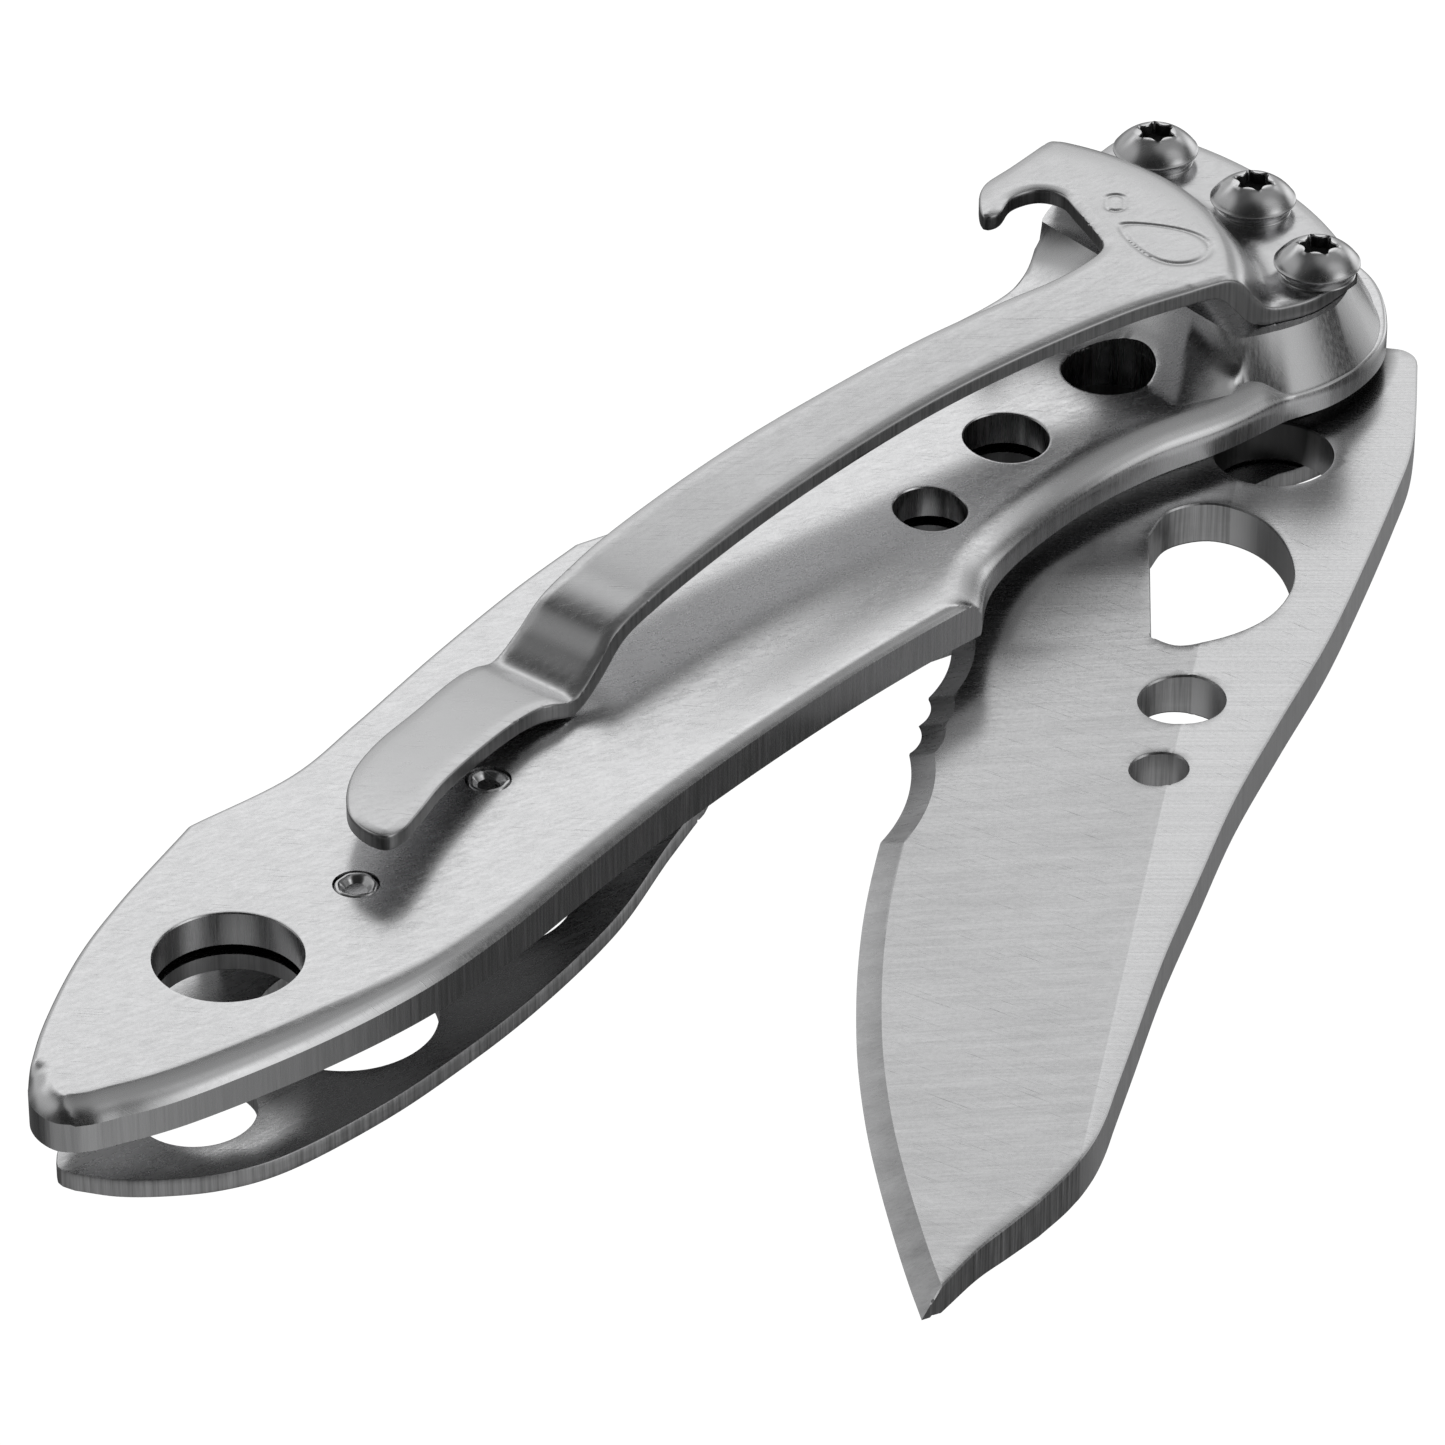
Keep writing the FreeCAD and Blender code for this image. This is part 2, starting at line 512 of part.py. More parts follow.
def clip_head():
    """Stamped sheet: base under the screws, bend up to the raised opener plate."""
    high = Z_HEAD_TOP
    base = Z_BASE_TOP
    section = [(0, high), (BEND_TOP_R - 0.5, high), (BEND_TOP_R + 0.25, high - 0.45),
               (BEND_FOOT_R - 0.35, base + 0.35), (BEND_FOOT_R + 0.3, base),
               (CLIP_BASE_R + 3, base), (CLIP_BASE_R + 3, base - CLIP_T),
               (BEND_FOOT_R + 0.05, base - CLIP_T), (BEND_FOOT_R - 1.1, base - CLIP_T + 0.5),
               (BEND_TOP_R - 0.55, high - CLIP_T - 0.2), (BEND_TOP_R - 0.9, high - CLIP_T),
               (0, high - CLIP_T)]
    wire = Part.makePolygon([V(CLIP_CENTRE[0] + r, CLIP_CENTRE[1], z) for r, z in section + section[:1]])
    sheet = Part.Face(wire).revolve(V(*CLIP_CENTRE, 0), V(0, 0, 1), 360)
    plan = prism(clip_head_plan(0), high + 2)
    body = sheet.common(plan)
    for x, y in CLIP_SCREWS:
        body = body.cut(disc(x, y, SHANK_R, 0, high + 1))
    return body


def clip_arm():
    """Long spring arm: falls away from the head, dips to touch the scale, turns up at the tip."""
    root = ARM_ROOT_X - ARM_GAP
    top = [(root, Z_HEAD_TOP), (55.0, 4.72), (45.0, 4.1), (35.0, 3.42), (28.5, 2.85),
           (25.8, 2.45), (24.2, 1.55), (22.6, 0.85), (21.4, 1.15), (19.5, 1.4), (15.0, 1.85),
           (11.0, 2.2), (7.9, 2.35)]
    under = [(7.9, 1.55), (11.0, 1.4), (15.0, 1.05), (19.3, 0.6), (21.2, 0.33), (22.6, 0.05), (24.6, 0.72),
             (26.4, 1.68), (28.8, 2.05), (35.0, 2.62), (45.0, 3.3), (55.0, 3.92), (root, Z_HEAD_TOP - CLIP_T)]
    curves = []
    for run in (top, under):
        curve = Part.BSplineCurve()
        curve.interpolate([V(x, -12, z) for x, z in run])
        curves.append(curve.toShape())
    ends = [Part.makeLine(V(top[-1][0], -12, top[-1][1]), V(under[0][0], -12, under[0][1])),
            Part.makeLine(V(under[-1][0], -12, under[-1][1]), V(top[0][0], -12, top[0][1]))]
    side = Part.Face(Part.Wire([curves[0], ends[0], curves[1], ends[1]])).extrude(V(0, 30, 0))
    near = [(root, -3.59), (57.6, -2.2), (48.3, 0.2), (39.0, 1.15), (30.0, 1.2), (26.0, 0.95), (22.3, 0.5),
            (20.4, 0.85), (18.3, 0.7), (13.3, -0.3), (10.6, -1.2), (8.9, -1.65)]
    nose = [(8.9, -1.65), (8.15, -1.5), (7.95, -0.7), (8.3, 0.6), (9.3, 1.75), (11.0, 2.9), (13.5, 3.8)]
    far = [(13.5, 3.8), (16.5, 4.4), (20.5, 5.2), (22.5, 5.2), (25.5, 5.3), (30.5, 5.7),
           (39.0, 5.5), (45.9, 4.7), (50.7, 3.9), (55.3, 2.75), (58.3, 1.95), (root, 1.84)]
    edges = [spline(near, -1), spline(nose, -1), spline(far, -1), line(far[-1], near[0], -1)]
    return side.common(prism(edges, 10))


def build_all():
    pieces = {
        "front_scale": front_scale(),
        "liner": liner(),
        "back_plate": back_plate(),
        "lock_bar": lock_bar(),
        "detent_ball": detent_ball(),
        "spacer": spacer(),
        "blade": blade(),
        "front_washer": washer(Z_BLADE),
        "rear_washer": washer(Z_PLATE),
        "pivot_barrel": pivot_barrel(),
        "pivot_screw": pivot_screw(),
        "stop_pin": stop_pin(),
        "clip_head": clip_head(),
        "clip_arm": clip_arm(),
    }
    for k, (x, y) in enumerate(LINER_RIVETS):
        pieces["liner_rivet_%d" % (k + 1)] = liner_rivet(x, y)
    for k, (x, y) in enumerate(SPACER_PINS):
        pieces["spacer_rivet_%d" % (k + 1)] = spacer_pin(x, y)
    for k, (x, y) in enumerate(CLIP_SCREWS):
        pieces["clip_screw_%d" % (k + 1)] = clip_screw(x, y)
    return pieces


os.makedirs("parts", exist_ok=True)
for name, shape in build_all().items():
    solid = shape.Solids[0] if len(shape.Solids) == 1 else shape
    print(name, "valid", solid.isValid(), "solids", len(shape.Solids), "volume", round(shape.Volume, 2))
    solid.exportStep("parts/%s.step" % name)
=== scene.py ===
import math

import bmesh
import bpy
import numpy as np
from mathutils import Matrix, Vector, geometry


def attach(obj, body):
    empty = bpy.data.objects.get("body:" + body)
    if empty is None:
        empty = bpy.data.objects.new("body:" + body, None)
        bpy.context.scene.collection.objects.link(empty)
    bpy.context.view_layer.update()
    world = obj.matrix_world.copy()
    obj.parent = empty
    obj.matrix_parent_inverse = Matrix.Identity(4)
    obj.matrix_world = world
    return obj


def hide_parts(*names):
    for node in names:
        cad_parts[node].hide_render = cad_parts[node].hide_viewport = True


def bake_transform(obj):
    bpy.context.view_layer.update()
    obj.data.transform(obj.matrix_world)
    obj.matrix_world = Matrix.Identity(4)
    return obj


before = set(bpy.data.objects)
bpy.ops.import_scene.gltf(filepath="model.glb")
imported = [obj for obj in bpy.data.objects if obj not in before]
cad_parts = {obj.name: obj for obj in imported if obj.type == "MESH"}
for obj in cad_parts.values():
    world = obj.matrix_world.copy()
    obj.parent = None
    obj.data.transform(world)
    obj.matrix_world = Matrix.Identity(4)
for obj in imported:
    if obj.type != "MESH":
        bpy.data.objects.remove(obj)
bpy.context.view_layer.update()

MM = 0.001
PIVOT = np.array([67.75, 0.87])
CLIP_CENTRE = np.array([56.3, 5.83])    # centre of the clip's bend and base

# layers along Z, in millimetres, from the top face of the front scale
Z_SCALE = -2.1
Z_LINER = -2.9
Z_BLADE = -3.0
Z_BLADE_LOW = -5.1
Z_PLATE = -5.2
Z_PLATE_LOW = -6.1
BOSS_H = 2.1
Z_BASE_TOP = 2.9

# round pivot end of the handle, slightly tighter on its far side
END_R, FAR_R = 8.65, 8.5
PLATE_R = 8.2

# line where the blade's flat grind starts
GRIND_START = np.array([15.6, -32.25])
GRIND_ANGLE = math.radians(29.6)


# ---- plan curves

def catmull(points, step=0.25, closed=False):
    """Smooth curve through the points (centripetal Catmull-Rom), sampled about every step mm."""
    p = np.array(points, float)
    if closed:
        p = np.vstack([p[-1], p, p[0], p[1]])
    else:
        p = np.vstack([2 * p[0] - p[1], p, 2 * p[-1] - p[-2]])
    out = []
    for i in range(1, len(p) - 2):
        a, b, c, d = p[i - 1], p[i], p[i + 1], p[i + 2]
        t0 = 0.0
        t1 = t0 + max(np.linalg.norm(b - a), 1e-6) ** 0.5
        t2 = t1 + max(np.linalg.norm(c - b), 1e-6) ** 0.5
        t3 = t2 + max(np.linalg.norm(d - c), 1e-6) ** 0.5
        n = max(2, int(np.linalg.norm(c - b) / step))
        for t in np.linspace(t1, t2, n, endpoint=False):
            a1 = (t1 - t) / (t1 - t0) * a + (t - t0) / (t1 - t0) * b
            a2 = (t2 - t) / (t2 - t1) * b + (t - t1) / (t2 - t1) * c
            a3 = (t3 - t) / (t3 - t2) * c + (t - t2) / (t3 - t2) * d
            b1 = (t2 - t) / (t2 - t0) * a1 + (t - t0) / (t2 - t0) * a2
            b2 = (t3 - t) / (t3 - t1) * a2 + (t - t1) / (t3 - t1) * a3
            out.append((t2 - t) / (t2 - t1) * b1 + (t - t1) / (t2 - t1) * b2)
    if not closed:
        out.append(p[-2])
    return np.array(out)


def straight(a, b, step=0.25):
    a, b = np.array(a, float), np.array(b, float)
    n = max(2, int(np.linalg.norm(b - a) / step) + 1)
    return a + (b - a) * np.linspace(0, 1, n)[:, None]


def arc(centre, radius, start, end, step=0.25):
    n = max(3, int(abs(math.radians(end - start)) * radius / step))
    t = np.radians(np.linspace(start, end, n))
    return np.c_[centre[0] + radius * np.cos(t), centre[1] + radius * np.sin(t)]


def circle(x, y, radius, step=0.25):
    n = max(20, int(2 * math.pi * radius / step))
    t = np.linspace(0, 2 * math.pi, n, endpoint=False)
    return np.c_[x + radius * np.cos(t), y + radius * np.sin(t)]


def loop(*runs):
    """Joins runs of points into one closed loop, without repeated points."""
    out = []
    for run in runs:
        for q in run:
            if not out or np.linalg.norm(q - out[-1]) > 0.02:
                out.append(q)
    if np.linalg.norm(out[0] - out[-1]) < 0.02:
        out.pop()
    return np.array(out)


def polar(radius, degrees, centre=PIVOT):
    a = math.radians(degrees)
    return (centre[0] + radius * math.cos(a), centre[1] + radius * math.sin(a))


def area(points):
    x, y = points[:, 0], points[:, 1]
    return 0.5 * np.sum(x * np.roll(y, -1) - np.roll(x, -1) * y)


def normals_in(points):
    """Unit normals to the left of the direction of travel: inwards for a counter-clockwise loop."""
    d = np.roll(points, -1, 0) - np.roll(points, 1, 0)
    d /= np.maximum(np.linalg.norm(d, axis=1), 1e-9)[:, None]
    return np.c_[-d[:, 1], d[:, 0]]


def distance(points, loops, closed=True):
    """Distance from each point to the nearest segment of any loop, or of open runs."""
    best = np.full(len(points), 1e9)
    for ring in loops:
        a = ring if closed else ring[:-1]
        b = np.roll(ring, -1, 0) if closed else ring[1:]
        ab = b - a
        size = np.maximum((ab ** 2).sum(1), 1e-12)
        for k in range(0, len(points), CHUNK):
            p = points[k:k + CHUNK]
            t = np.clip(((p[:, None] - a[None]) * ab[None]).sum(2) / size[None], 0, 1)
            near = a[None] + t[..., None] * ab[None]
            d = np.sqrt(((p[:, None] - near) ** 2).sum(2)).min(1)
            best[k:k + CHUNK] = np.minimum(best[k:k + CHUNK], d)
    return best


def inside(points, ring):
    x, y = points[:, 0], points[:, 1]
    hit = np.zeros(len(points), bool)
    x1, y1 = ring[:, 0], ring[:, 1]
    x2, y2 = np.roll(x1, -1), np.roll(y1, -1)
    for a, b, c, d in zip(x1, y1, x2, y2):
        cross = ((b > y) != (d > y))
        if cross.any():
            hit[cross] ^= x[cross] < (c - a) * (y[cross] - b) / (d - b) + a
    return hit


def resample(ring, step):
    closed = np.vstack([ring, ring[:1]])
    s = np.r_[0, np.cumsum(np.linalg.norm(np.diff(closed, axis=0), axis=1))]
    n = max(16, int(s[-1] / step))
    t = np.linspace(0, s[-1], n, endpoint=False)
    return np.c_[np.interp(t, s, closed[:, 0]), np.interp(t, s, closed[:, 1])]


# ---- slab meshes

TRIANGLE_ROW = 0.866    # height of an equilateral triangle of side 1
CHUNK = 4000            # points handled at once, to bound the memory used


def slab(name, outer, holes, top, bottom, rings, spacing=0.35, extra=None, levels=2, lines=()):
    """Solid between two surfaces top(x, y, d) and bottom(x, y, d) over a plan outline with holes.

    d is the distance to the nearest outline or hole edge. rings lists the distances at which extra
    rows of points follow the edges, so that rounds and bevels are crisp. extra points are added as
    they are, and lines are kept as edges of the mesh. levels counts the wall's bands."""
    loops = [outer if area(outer) > 0 else outer[::-1]]
    loops += [h if area(h) < 0 else h[::-1] for h in holes]
    border = np.vstack(loops)
    free = []
    for r in rings:
        for ring in loops:
            p = ring + normals_in(ring) * r
            free.append(p[distance(p, loops) > r * 0.93])
    low, high = border.min(0), border.max(0)
    gx = np.arange(low[0], high[0], spacing)
    gy = np.arange(low[1], high[1], spacing * TRIANGLE_ROW)
    X, Y = np.meshgrid(gx, gy)
    X[1::2] += spacing / 2
    grid = np.c_[X.ravel(), Y.ravel()]
    ok = inside(grid, loops[0])
    for ring in loops[1:]:
        ok &= ~inside(grid, ring)
    grid = grid[ok]
    grid = grid[distance(grid, loops) > max(rings) + spacing * 0.55]
    if extra is not None:
        e = extra[inside(extra, loops[0])]
        for ring in loops[1:]:
            e = e[~inside(e, ring)]
        e = e[distance(e, loops) > 0.06]
        keep = np.ones(len(grid), bool)
        for k in range(0, len(grid), CHUNK):
            gap = np.sqrt(((grid[k:k + CHUNK, None] - e[None]) ** 2).sum(2)).min(1)
            keep[k:k + CHUNK] = gap > spacing * 0.5
        grid = grid[keep]
        free.append(e)
    free.append(grid)
    inner = np.vstack(free)
    inner = inner[inside(inner, loops[0])]
    if lines:
        inner = inner[distance(inner, lines, False) > 0.07]
    verts = np.vstack([border, inner] + list(lines))
    edges = []
    start = 0
    for ring in loops:
        n = len(ring)
        edges += [(start + i, start + (i + 1) % n) for i in range(n)]
        start += n
    start += len(inner)
    for line in lines:
        edges += [(start + i, start + i + 1) for i in range(len(line) - 1)]
        start += len(line)
    result = geometry.delaunay_2d_cdt([Vector(v) for v in verts], edges, [], 0, 1e-5, True)
    co = np.array([(v.x, v.y) for v in result[0]])
    faces = np.array([f for f in result[2] if len(f) == 3])
    centre = co[faces].mean(1)
    good = inside(centre, loops[0])
    for ring in loops[1:]:
        good &= ~inside(centre, ring)
    faces = faces[good]
    used = np.unique(faces)
    remap = -np.ones(len(co), int)
    remap[used] = np.arange(len(used))
    co, faces = co[used], remap[faces]
    tri = co[faces]
    cross = ((tri[:, 1, 0] - tri[:, 0, 0]) * (tri[:, 2, 1] - tri[:, 0, 1])
             - (tri[:, 2, 0] - tri[:, 0, 0]) * (tri[:, 1, 1] - tri[:, 0, 1]))
    faces[cross < 0] = faces[cross < 0][:, ::-1]
    d = distance(co, loops)
    zt, zb = top(co[:, 0], co[:, 1], d), bottom(co[:, 0], co[:, 1], d)
    n = len(co)
    points = [np.c_[co, zt], np.c_[co, zb]]
    quads = []
    count = {}
    for f in faces:
        for a, b in ((f[0], f[1]), (f[1], f[2]), (f[2], f[0])):
            count[(a, b)] = count.get((a, b), 0) + 1
    rim = [(a, b) for (a, b) in count if (b, a) not in count]
    ids = np.array(sorted({a for e in rim for a in e}))
    pos = {v: k for k, v in enumerate(ids)}
    rows = [ids]
    base = 2 * n
    for k in range(1, levels):
        t = k / levels
        points.append(np.c_[co[ids], zt[ids] * (1 - t) + zb[ids] * t])
        rows.append(np.arange(base, base + len(ids)))
        base += len(ids)
    rows.append(ids + n)
    for upper, lower in zip(rows[:-1], rows[1:]):
        for a, b in rim:
            ia, ib = pos[a], pos[b]
            quads.append((upper[ia], lower[ia], lower[ib], upper[ib]))
    allfaces = [tuple(int(v) for v in f) for f in faces]
    allfaces += [tuple(int(v) for v in (f + n)[::-1]) for f in faces]
    allfaces += [tuple(int(v) for v in q) for q in quads]
    mesh = bpy.data.meshes.new(name)
    mesh.from_pydata((np.vstack(points) * MM).tolist(), [], allfaces)
    mesh.validate()
    mesh.update()
    return new_object(name, mesh)


def linked(name, data):
    """Object in the scene that holds this mesh, camera or light."""
    obj = bpy.data.objects.new(name, data)
    bpy.context.scene.collection.objects.link(obj)
    return obj


def new_object(name, mesh, angle=32):
    obj = linked(name, mesh)
    smooth(obj, angle)
    return obj


def from_bmesh(name, bm, angle=32):
    mesh = bpy.data.meshes.new(name)
    bm.to_mesh(mesh)
    bm.free()
    return new_object(name, mesh, angle)


def smooth(obj, angle=32):
    obj.data.polygons.foreach_set("use_smooth", [True] * len(obj.data.polygons))
    obj.data.set_sharp_from_angle(angle=math.radians(angle))


def round_edge(d, r):
    """How far a rounded edge of radius r has dropped at distance d from the outline."""
    t = np.clip(d, 0, r)
    return r - np.sqrt(np.maximum(r * r - (r - t) ** 2, 0))


def smoothstep(a, b, x):
    t = np.clip((x - a) / (b - a), 0, 1)
    return t * t * (3 - 2 * t)


# ---- materials

class Nodes:
    """Small helper for building a node tree."""

    def __init__(self, tree):
        self.tree = tree

    def add(self, kind):
        return self.tree.nodes.new("ShaderNode" + kind)

    def link(self, a, b):
        self.tree.links.new(a, b)

    def feed(self, socket, value):
        if isinstance(value, (int, float)):
            socket.default_value = value
        else:
            self.link(value, socket)

    def math(self, op, a, b=0.0):
        node = self.add("Math")
        node.operation = op
        self.feed(node.inputs[0], a)
        self.feed(node.inputs[1], b)
        return node.outputs[0]

    def mix(self, factor, a, b):
        """a where factor is 0, b where it is 1."""
        return self.math("ADD", self.math("MULTIPLY", a, self.math("SUBTRACT", 1.0, factor)),
                         self.math("MULTIPLY", b, factor))

    def vector_math(self, op, a, b):
        node = self.add("VectorMath")
        node.operation = op
        self.link(a, node.inputs[0])
        node.inputs[1].default_value = b
        return node.outputs["Value"]

    def part(self, vector, axis):
        node = self.add("SeparateXYZ")
        self.link(vector, node.inputs[0])
        return node.outputs[axis]

    def ramp(self, value, low, high, out_low, out_high, kind="LINEAR"):
        node = self.add("MapRange")
        node.interpolation_type = kind
        self.feed(node.inputs["Value"], value)
        for key, number in zip(("From Min", "From Max", "To Min", "To Max"), (low, high, out_low, out_high)):
            node.inputs[key].default_value = number
        return node.outputs["Result"]


class Graph(Nodes):
    """One material's nodes."""

    def __init__(self, name):
        self.material = bpy.data.materials.new(name)
        self.material.use_nodes = True
        super().__init__(self.material.node_tree)
        self.shader = self.tree.nodes["Principled BSDF"]
        self.object = self.add("TexCoord").outputs["Object"]
        self.normal = self.add("NewGeometry").outputs["Normal"]

    def mapped(self, turn, scale):
        """Object coordinates in millimetres, turned about Z, then scaled per axis."""
        spin = self.add("Mapping")
        spin.inputs["Rotation"].default_value = (0, 0, math.radians(turn))
        spin.inputs["Scale"].default_value = (1000, 1000, 1000)
        self.link(self.object, spin.inputs["Vector"])
        size = self.add("Mapping")
        size.inputs["Scale"].default_value = scale
        self.link(spin.outputs[0], size.inputs["Vector"])
        return size.outputs[0]

    def noise(self, turn, scale, detail=3.0, rough=0.55):
        node = self.add("TexNoise")
        node.inputs["Scale"].default_value = 1.0
        node.inputs["Detail"].default_value = detail
        node.inputs["Roughness"].default_value = rough
        self.link(self.mapped(turn, scale), node.inputs["Vector"])
        return node.outputs["Fac"]

    def bump(self, height, strength, distance, before=None):
        node = self.add("Bump")
        node.inputs["Strength"].default_value = strength
        node.inputs["Distance"].default_value = distance
        self.feed(node.inputs["Height"], height)
        if before is not None:
            self.link(before, node.inputs["Normal"])
        return node.outputs[0]

    def grey(self, value, tint=(1.0, 1.0, 1.008)):
        node = self.add("CombineColor")
        for i in range(3):
            self.feed(node.inputs[i], self.math("MULTIPLY", value, tint[i]))
        return node.outputs[0]

    def walls(self):
        """1 on upright faces, 0 on flat ones."""
        up = self.math("ABSOLUTE", self.part(self.normal, 2))
        return self.ramp(up, 0.75, 0.35, 0.0, 1.0)


def steel(name, base, rough, turn, grain=(0.25, 14.0), grain_depth=0.25, tone=0.05, wall_shade_base=None,
          wall_rough=None, wall_lines=0.35, mottle=0.03, extra=None, underside=1.0):
    """Worked steel: directional grain on the flats, fine upright tool lines on the walls, uneven
    tone and roughness, and scattered hairline scratches.

    base and rough are for flats, the wall base and wall roughness for upright faces, the wall base set darker
    as painted shade on the walls;
    turn is the grain's direction in degrees; extra(graph, value) may change the tone; underside is painted
    shade: it darkens what faces down."""
    g = Graph(name)
    wall = g.walls()
    long, fine = grain
    lines = g.noise(turn, (long, fine, fine), 4.0, 0.6)
    broad = g.noise(turn, (long * 0.5, fine * 0.12, 1.0), 3.0)
    cloud = g.noise(0, (0.12, 0.12, 0.12), 4.0)
    speck = g.noise(0, (6.0, 6.0, 6.0), 2.0)
    upright = g.noise(0, (8.0, 8.0, 0.25), 3.0, 0.6)
    scratch = g.math("POWER", g.noise(turn + 37, (0.5, 22.0, 1.0), 1.0), 9.0)
    flat_tone = g.math("ADD", g.ramp(lines, 0.3, 0.7, -tone, tone),
                       g.ramp(broad, 0.3, 0.7, -tone, tone))
    flat_tone = g.math("ADD", flat_tone, g.ramp(cloud, 0.3, 0.7, -mottle, mottle))
    wall_tone = g.ramp(upright, 0.3, 0.7, -wall_lines * 0.22, wall_lines * 0.22)
    # upright faces take the darker wall base: painted shade on the walls, under real tool lines
    value = g.mix(wall, g.math("ADD", flat_tone, base), g.math("ADD", wall_tone, wall_shade_base or base))
    # painted shade: faces that point down are darkened by the underside factor
    under = g.ramp(g.part(g.normal, 2), -0.5, -0.9, 1.0, underside)
    value = g.math("MULTIPLY", value, under)
    if extra:
        value = extra(g, value)
    g.link(g.grey(value), g.shader.inputs["Base Color"])
    g.shader.inputs["Metallic"].default_value = 1.0
    rough_flat = g.math("ADD", g.ramp(lines, 0.3, 0.7, rough - 0.05, rough + 0.05),
                        g.ramp(speck, 0.35, 0.65, -0.02, 0.02))
    rough_flat = g.math("ADD", rough_flat, g.math("MULTIPLY", scratch, 0.8))
    rough_wall = g.ramp(upright, 0.3, 0.7, (wall_rough or rough) - 0.05, (wall_rough or rough) + 0.08)
    g.link(g.mix(wall, rough_flat, rough_wall), g.shader.inputs["Roughness"])
    height = g.mix(wall, g.math("ADD", lines, g.math("MULTIPLY", speck, 0.3)), upright)
    first = g.bump(height, grain_depth, 0.00002)
    g.link(g.bump(scratch, 0.4, 0.00003, first), g.shader.inputs["Normal"])
    return g.material


def blade_finish_and_tang_shade(g, value):
    """Smoother, even spine flat beside the brushed grind, and painted shade darkening the tang round the
    pivot.
    """
    x, y = g.part(g.object, 0), g.part(g.object, 1)
    across = g.math("ADD", g.math("MULTIPLY", x, -math.sin(GRIND_ANGLE) / MM),
                    g.math("MULTIPLY", y, math.cos(GRIND_ANGLE) / MM))
    ground = g.ramp(across, GRIND_OFFSET - 0.03, GRIND_OFFSET + 0.03, 0.0, 1.0)
    streak = g.noise(50.5, (0.04, 2.2, 2.2), 4.0, 0.65)
    brushed = g.math("MULTIPLY", value, g.ramp(streak, 0.3, 0.7, 0.93, 1.05))
    even = g.math("ADD", g.math("MULTIPLY", value, 0.25), 0.55)
    value = g.mix(ground, even, brushed)
    # painted shade: the blade is darkened near the pivot, where the scale shades the tang
    reach = g.vector_math("DISTANCE", g.object, (PIVOT[0] * MM, PIVOT[1] * MM, Z_BLADE * MM))
    tang = g.ramp(reach, TANG_SHADE_R[0] * MM, TANG_SHADE_R[1] * MM, 0.12, 1.0)
    return g.math("MULTIPLY", value, tang)


GRIND_OFFSET = -GRIND_START[0] * math.sin(GRIND_ANGLE) + GRIND_START[1] * math.cos(GRIND_ANGLE)
TANG_SHADE_R = (8.4, 9.2)    # the tang's painted shade fades out between these radii from the pivot
# in each steel(), a wall base below base is painted shade on upright faces, and underside is painted shade on
# faces pointing down
MATERIALS = {
    "scale_steel": steel("scale_satin", 0.8, 0.25, 20, (1.0, 4.0), 0.03, 0.012, 0.52, 0.25, 0.3, 0.02,
                         underside=0.3),
    "liner_steel": steel("liner_satin", 0.72, 0.25, 10, (0.4, 10.0), 0.05, 0.02, 0.4, 0.4),
    "plate_steel": steel("plate_worn", 0.68, 0.28, 12, (0.6, 7.0), 0.08, 0.03, 0.55, 0.5, 0.8, 0.05),
    "blade_steel": steel("blade_brushed", 0.58, 0.24, 50.5, (0.06, 9.0), 0.08, 0.02, 0.5, 0.4, 0.8,
                         extra=blade_finish_and_tang_shade, underside=0.5),
    "clip_steel": steel("clip_satin", 0.64, 0.22, 15, (0.9, 4.0), 0.012, 0.008, 0.26, 0.42, 0.35,
                        0.015),
    "hardware_steel": steel("hardware", 0.6, 0.35, 0, (3.0, 6.0), 0.1, 0.03),
    "rivet_steel": steel("rivet_worn", 0.7, 0.22, 40, (3.0, 5.0), 0.15, 0.05),
    "screw_steel": steel("screw_polished", 0.72, 0.2, 0, (2.0, 4.0), 0.03, 0.015, 0.5, 0.3, 0.15),
    "washer_bronze": steel("washer_bronze", 0.5, 0.35, 0, (3.0, 6.0), 0.1, 0.03),
}


def painted_socket_shade():
    """Near-black, rough steel at the bottom of a screw's socket: painted shade in the recess."""
    g = Graph("painted_socket_shade")
    cloud = g.noise(0, (4.0, 4.0, 4.0), 3.0)
    g.link(g.grey(g.ramp(cloud, 0.3, 0.7, 0.008, 0.03)), g.shader.inputs["Base Color"])
    g.link(g.ramp(cloud, 0.3, 0.7, 0.5, 0.75), g.shader.inputs["Roughness"])
    g.link(g.bump(cloud, 0.5, 0.00004), g.shader.inputs["Normal"])
    return g.material


PAINTED_SOCKET_SHADE = painted_socket_shade()
BEVEL_FINISH = steel("blade_sharpened", 0.52, 0.3, 50.5, (0.3, 6.0), 0.14, 0.06, mottle=0.02)


def paint(obj, slot_name):
    material = MATERIALS[slot_name]
    if obj.data.materials:
        for k in range(len(obj.data.materials)):
            obj.data.materials[k] = material
    else:
        obj.data.materials.append(material)


def place(obj, body, slot, *nodes):
    """obj rides on that body, stands for those CAD nodes and gets its slot's material."""
    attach(obj, body)
    finish_piece(obj, slot, *nodes)
    return obj


def finish_piece(obj, slot, *nodes):
    paint(obj, slot)
    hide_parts(*nodes)


# ---- handle outline

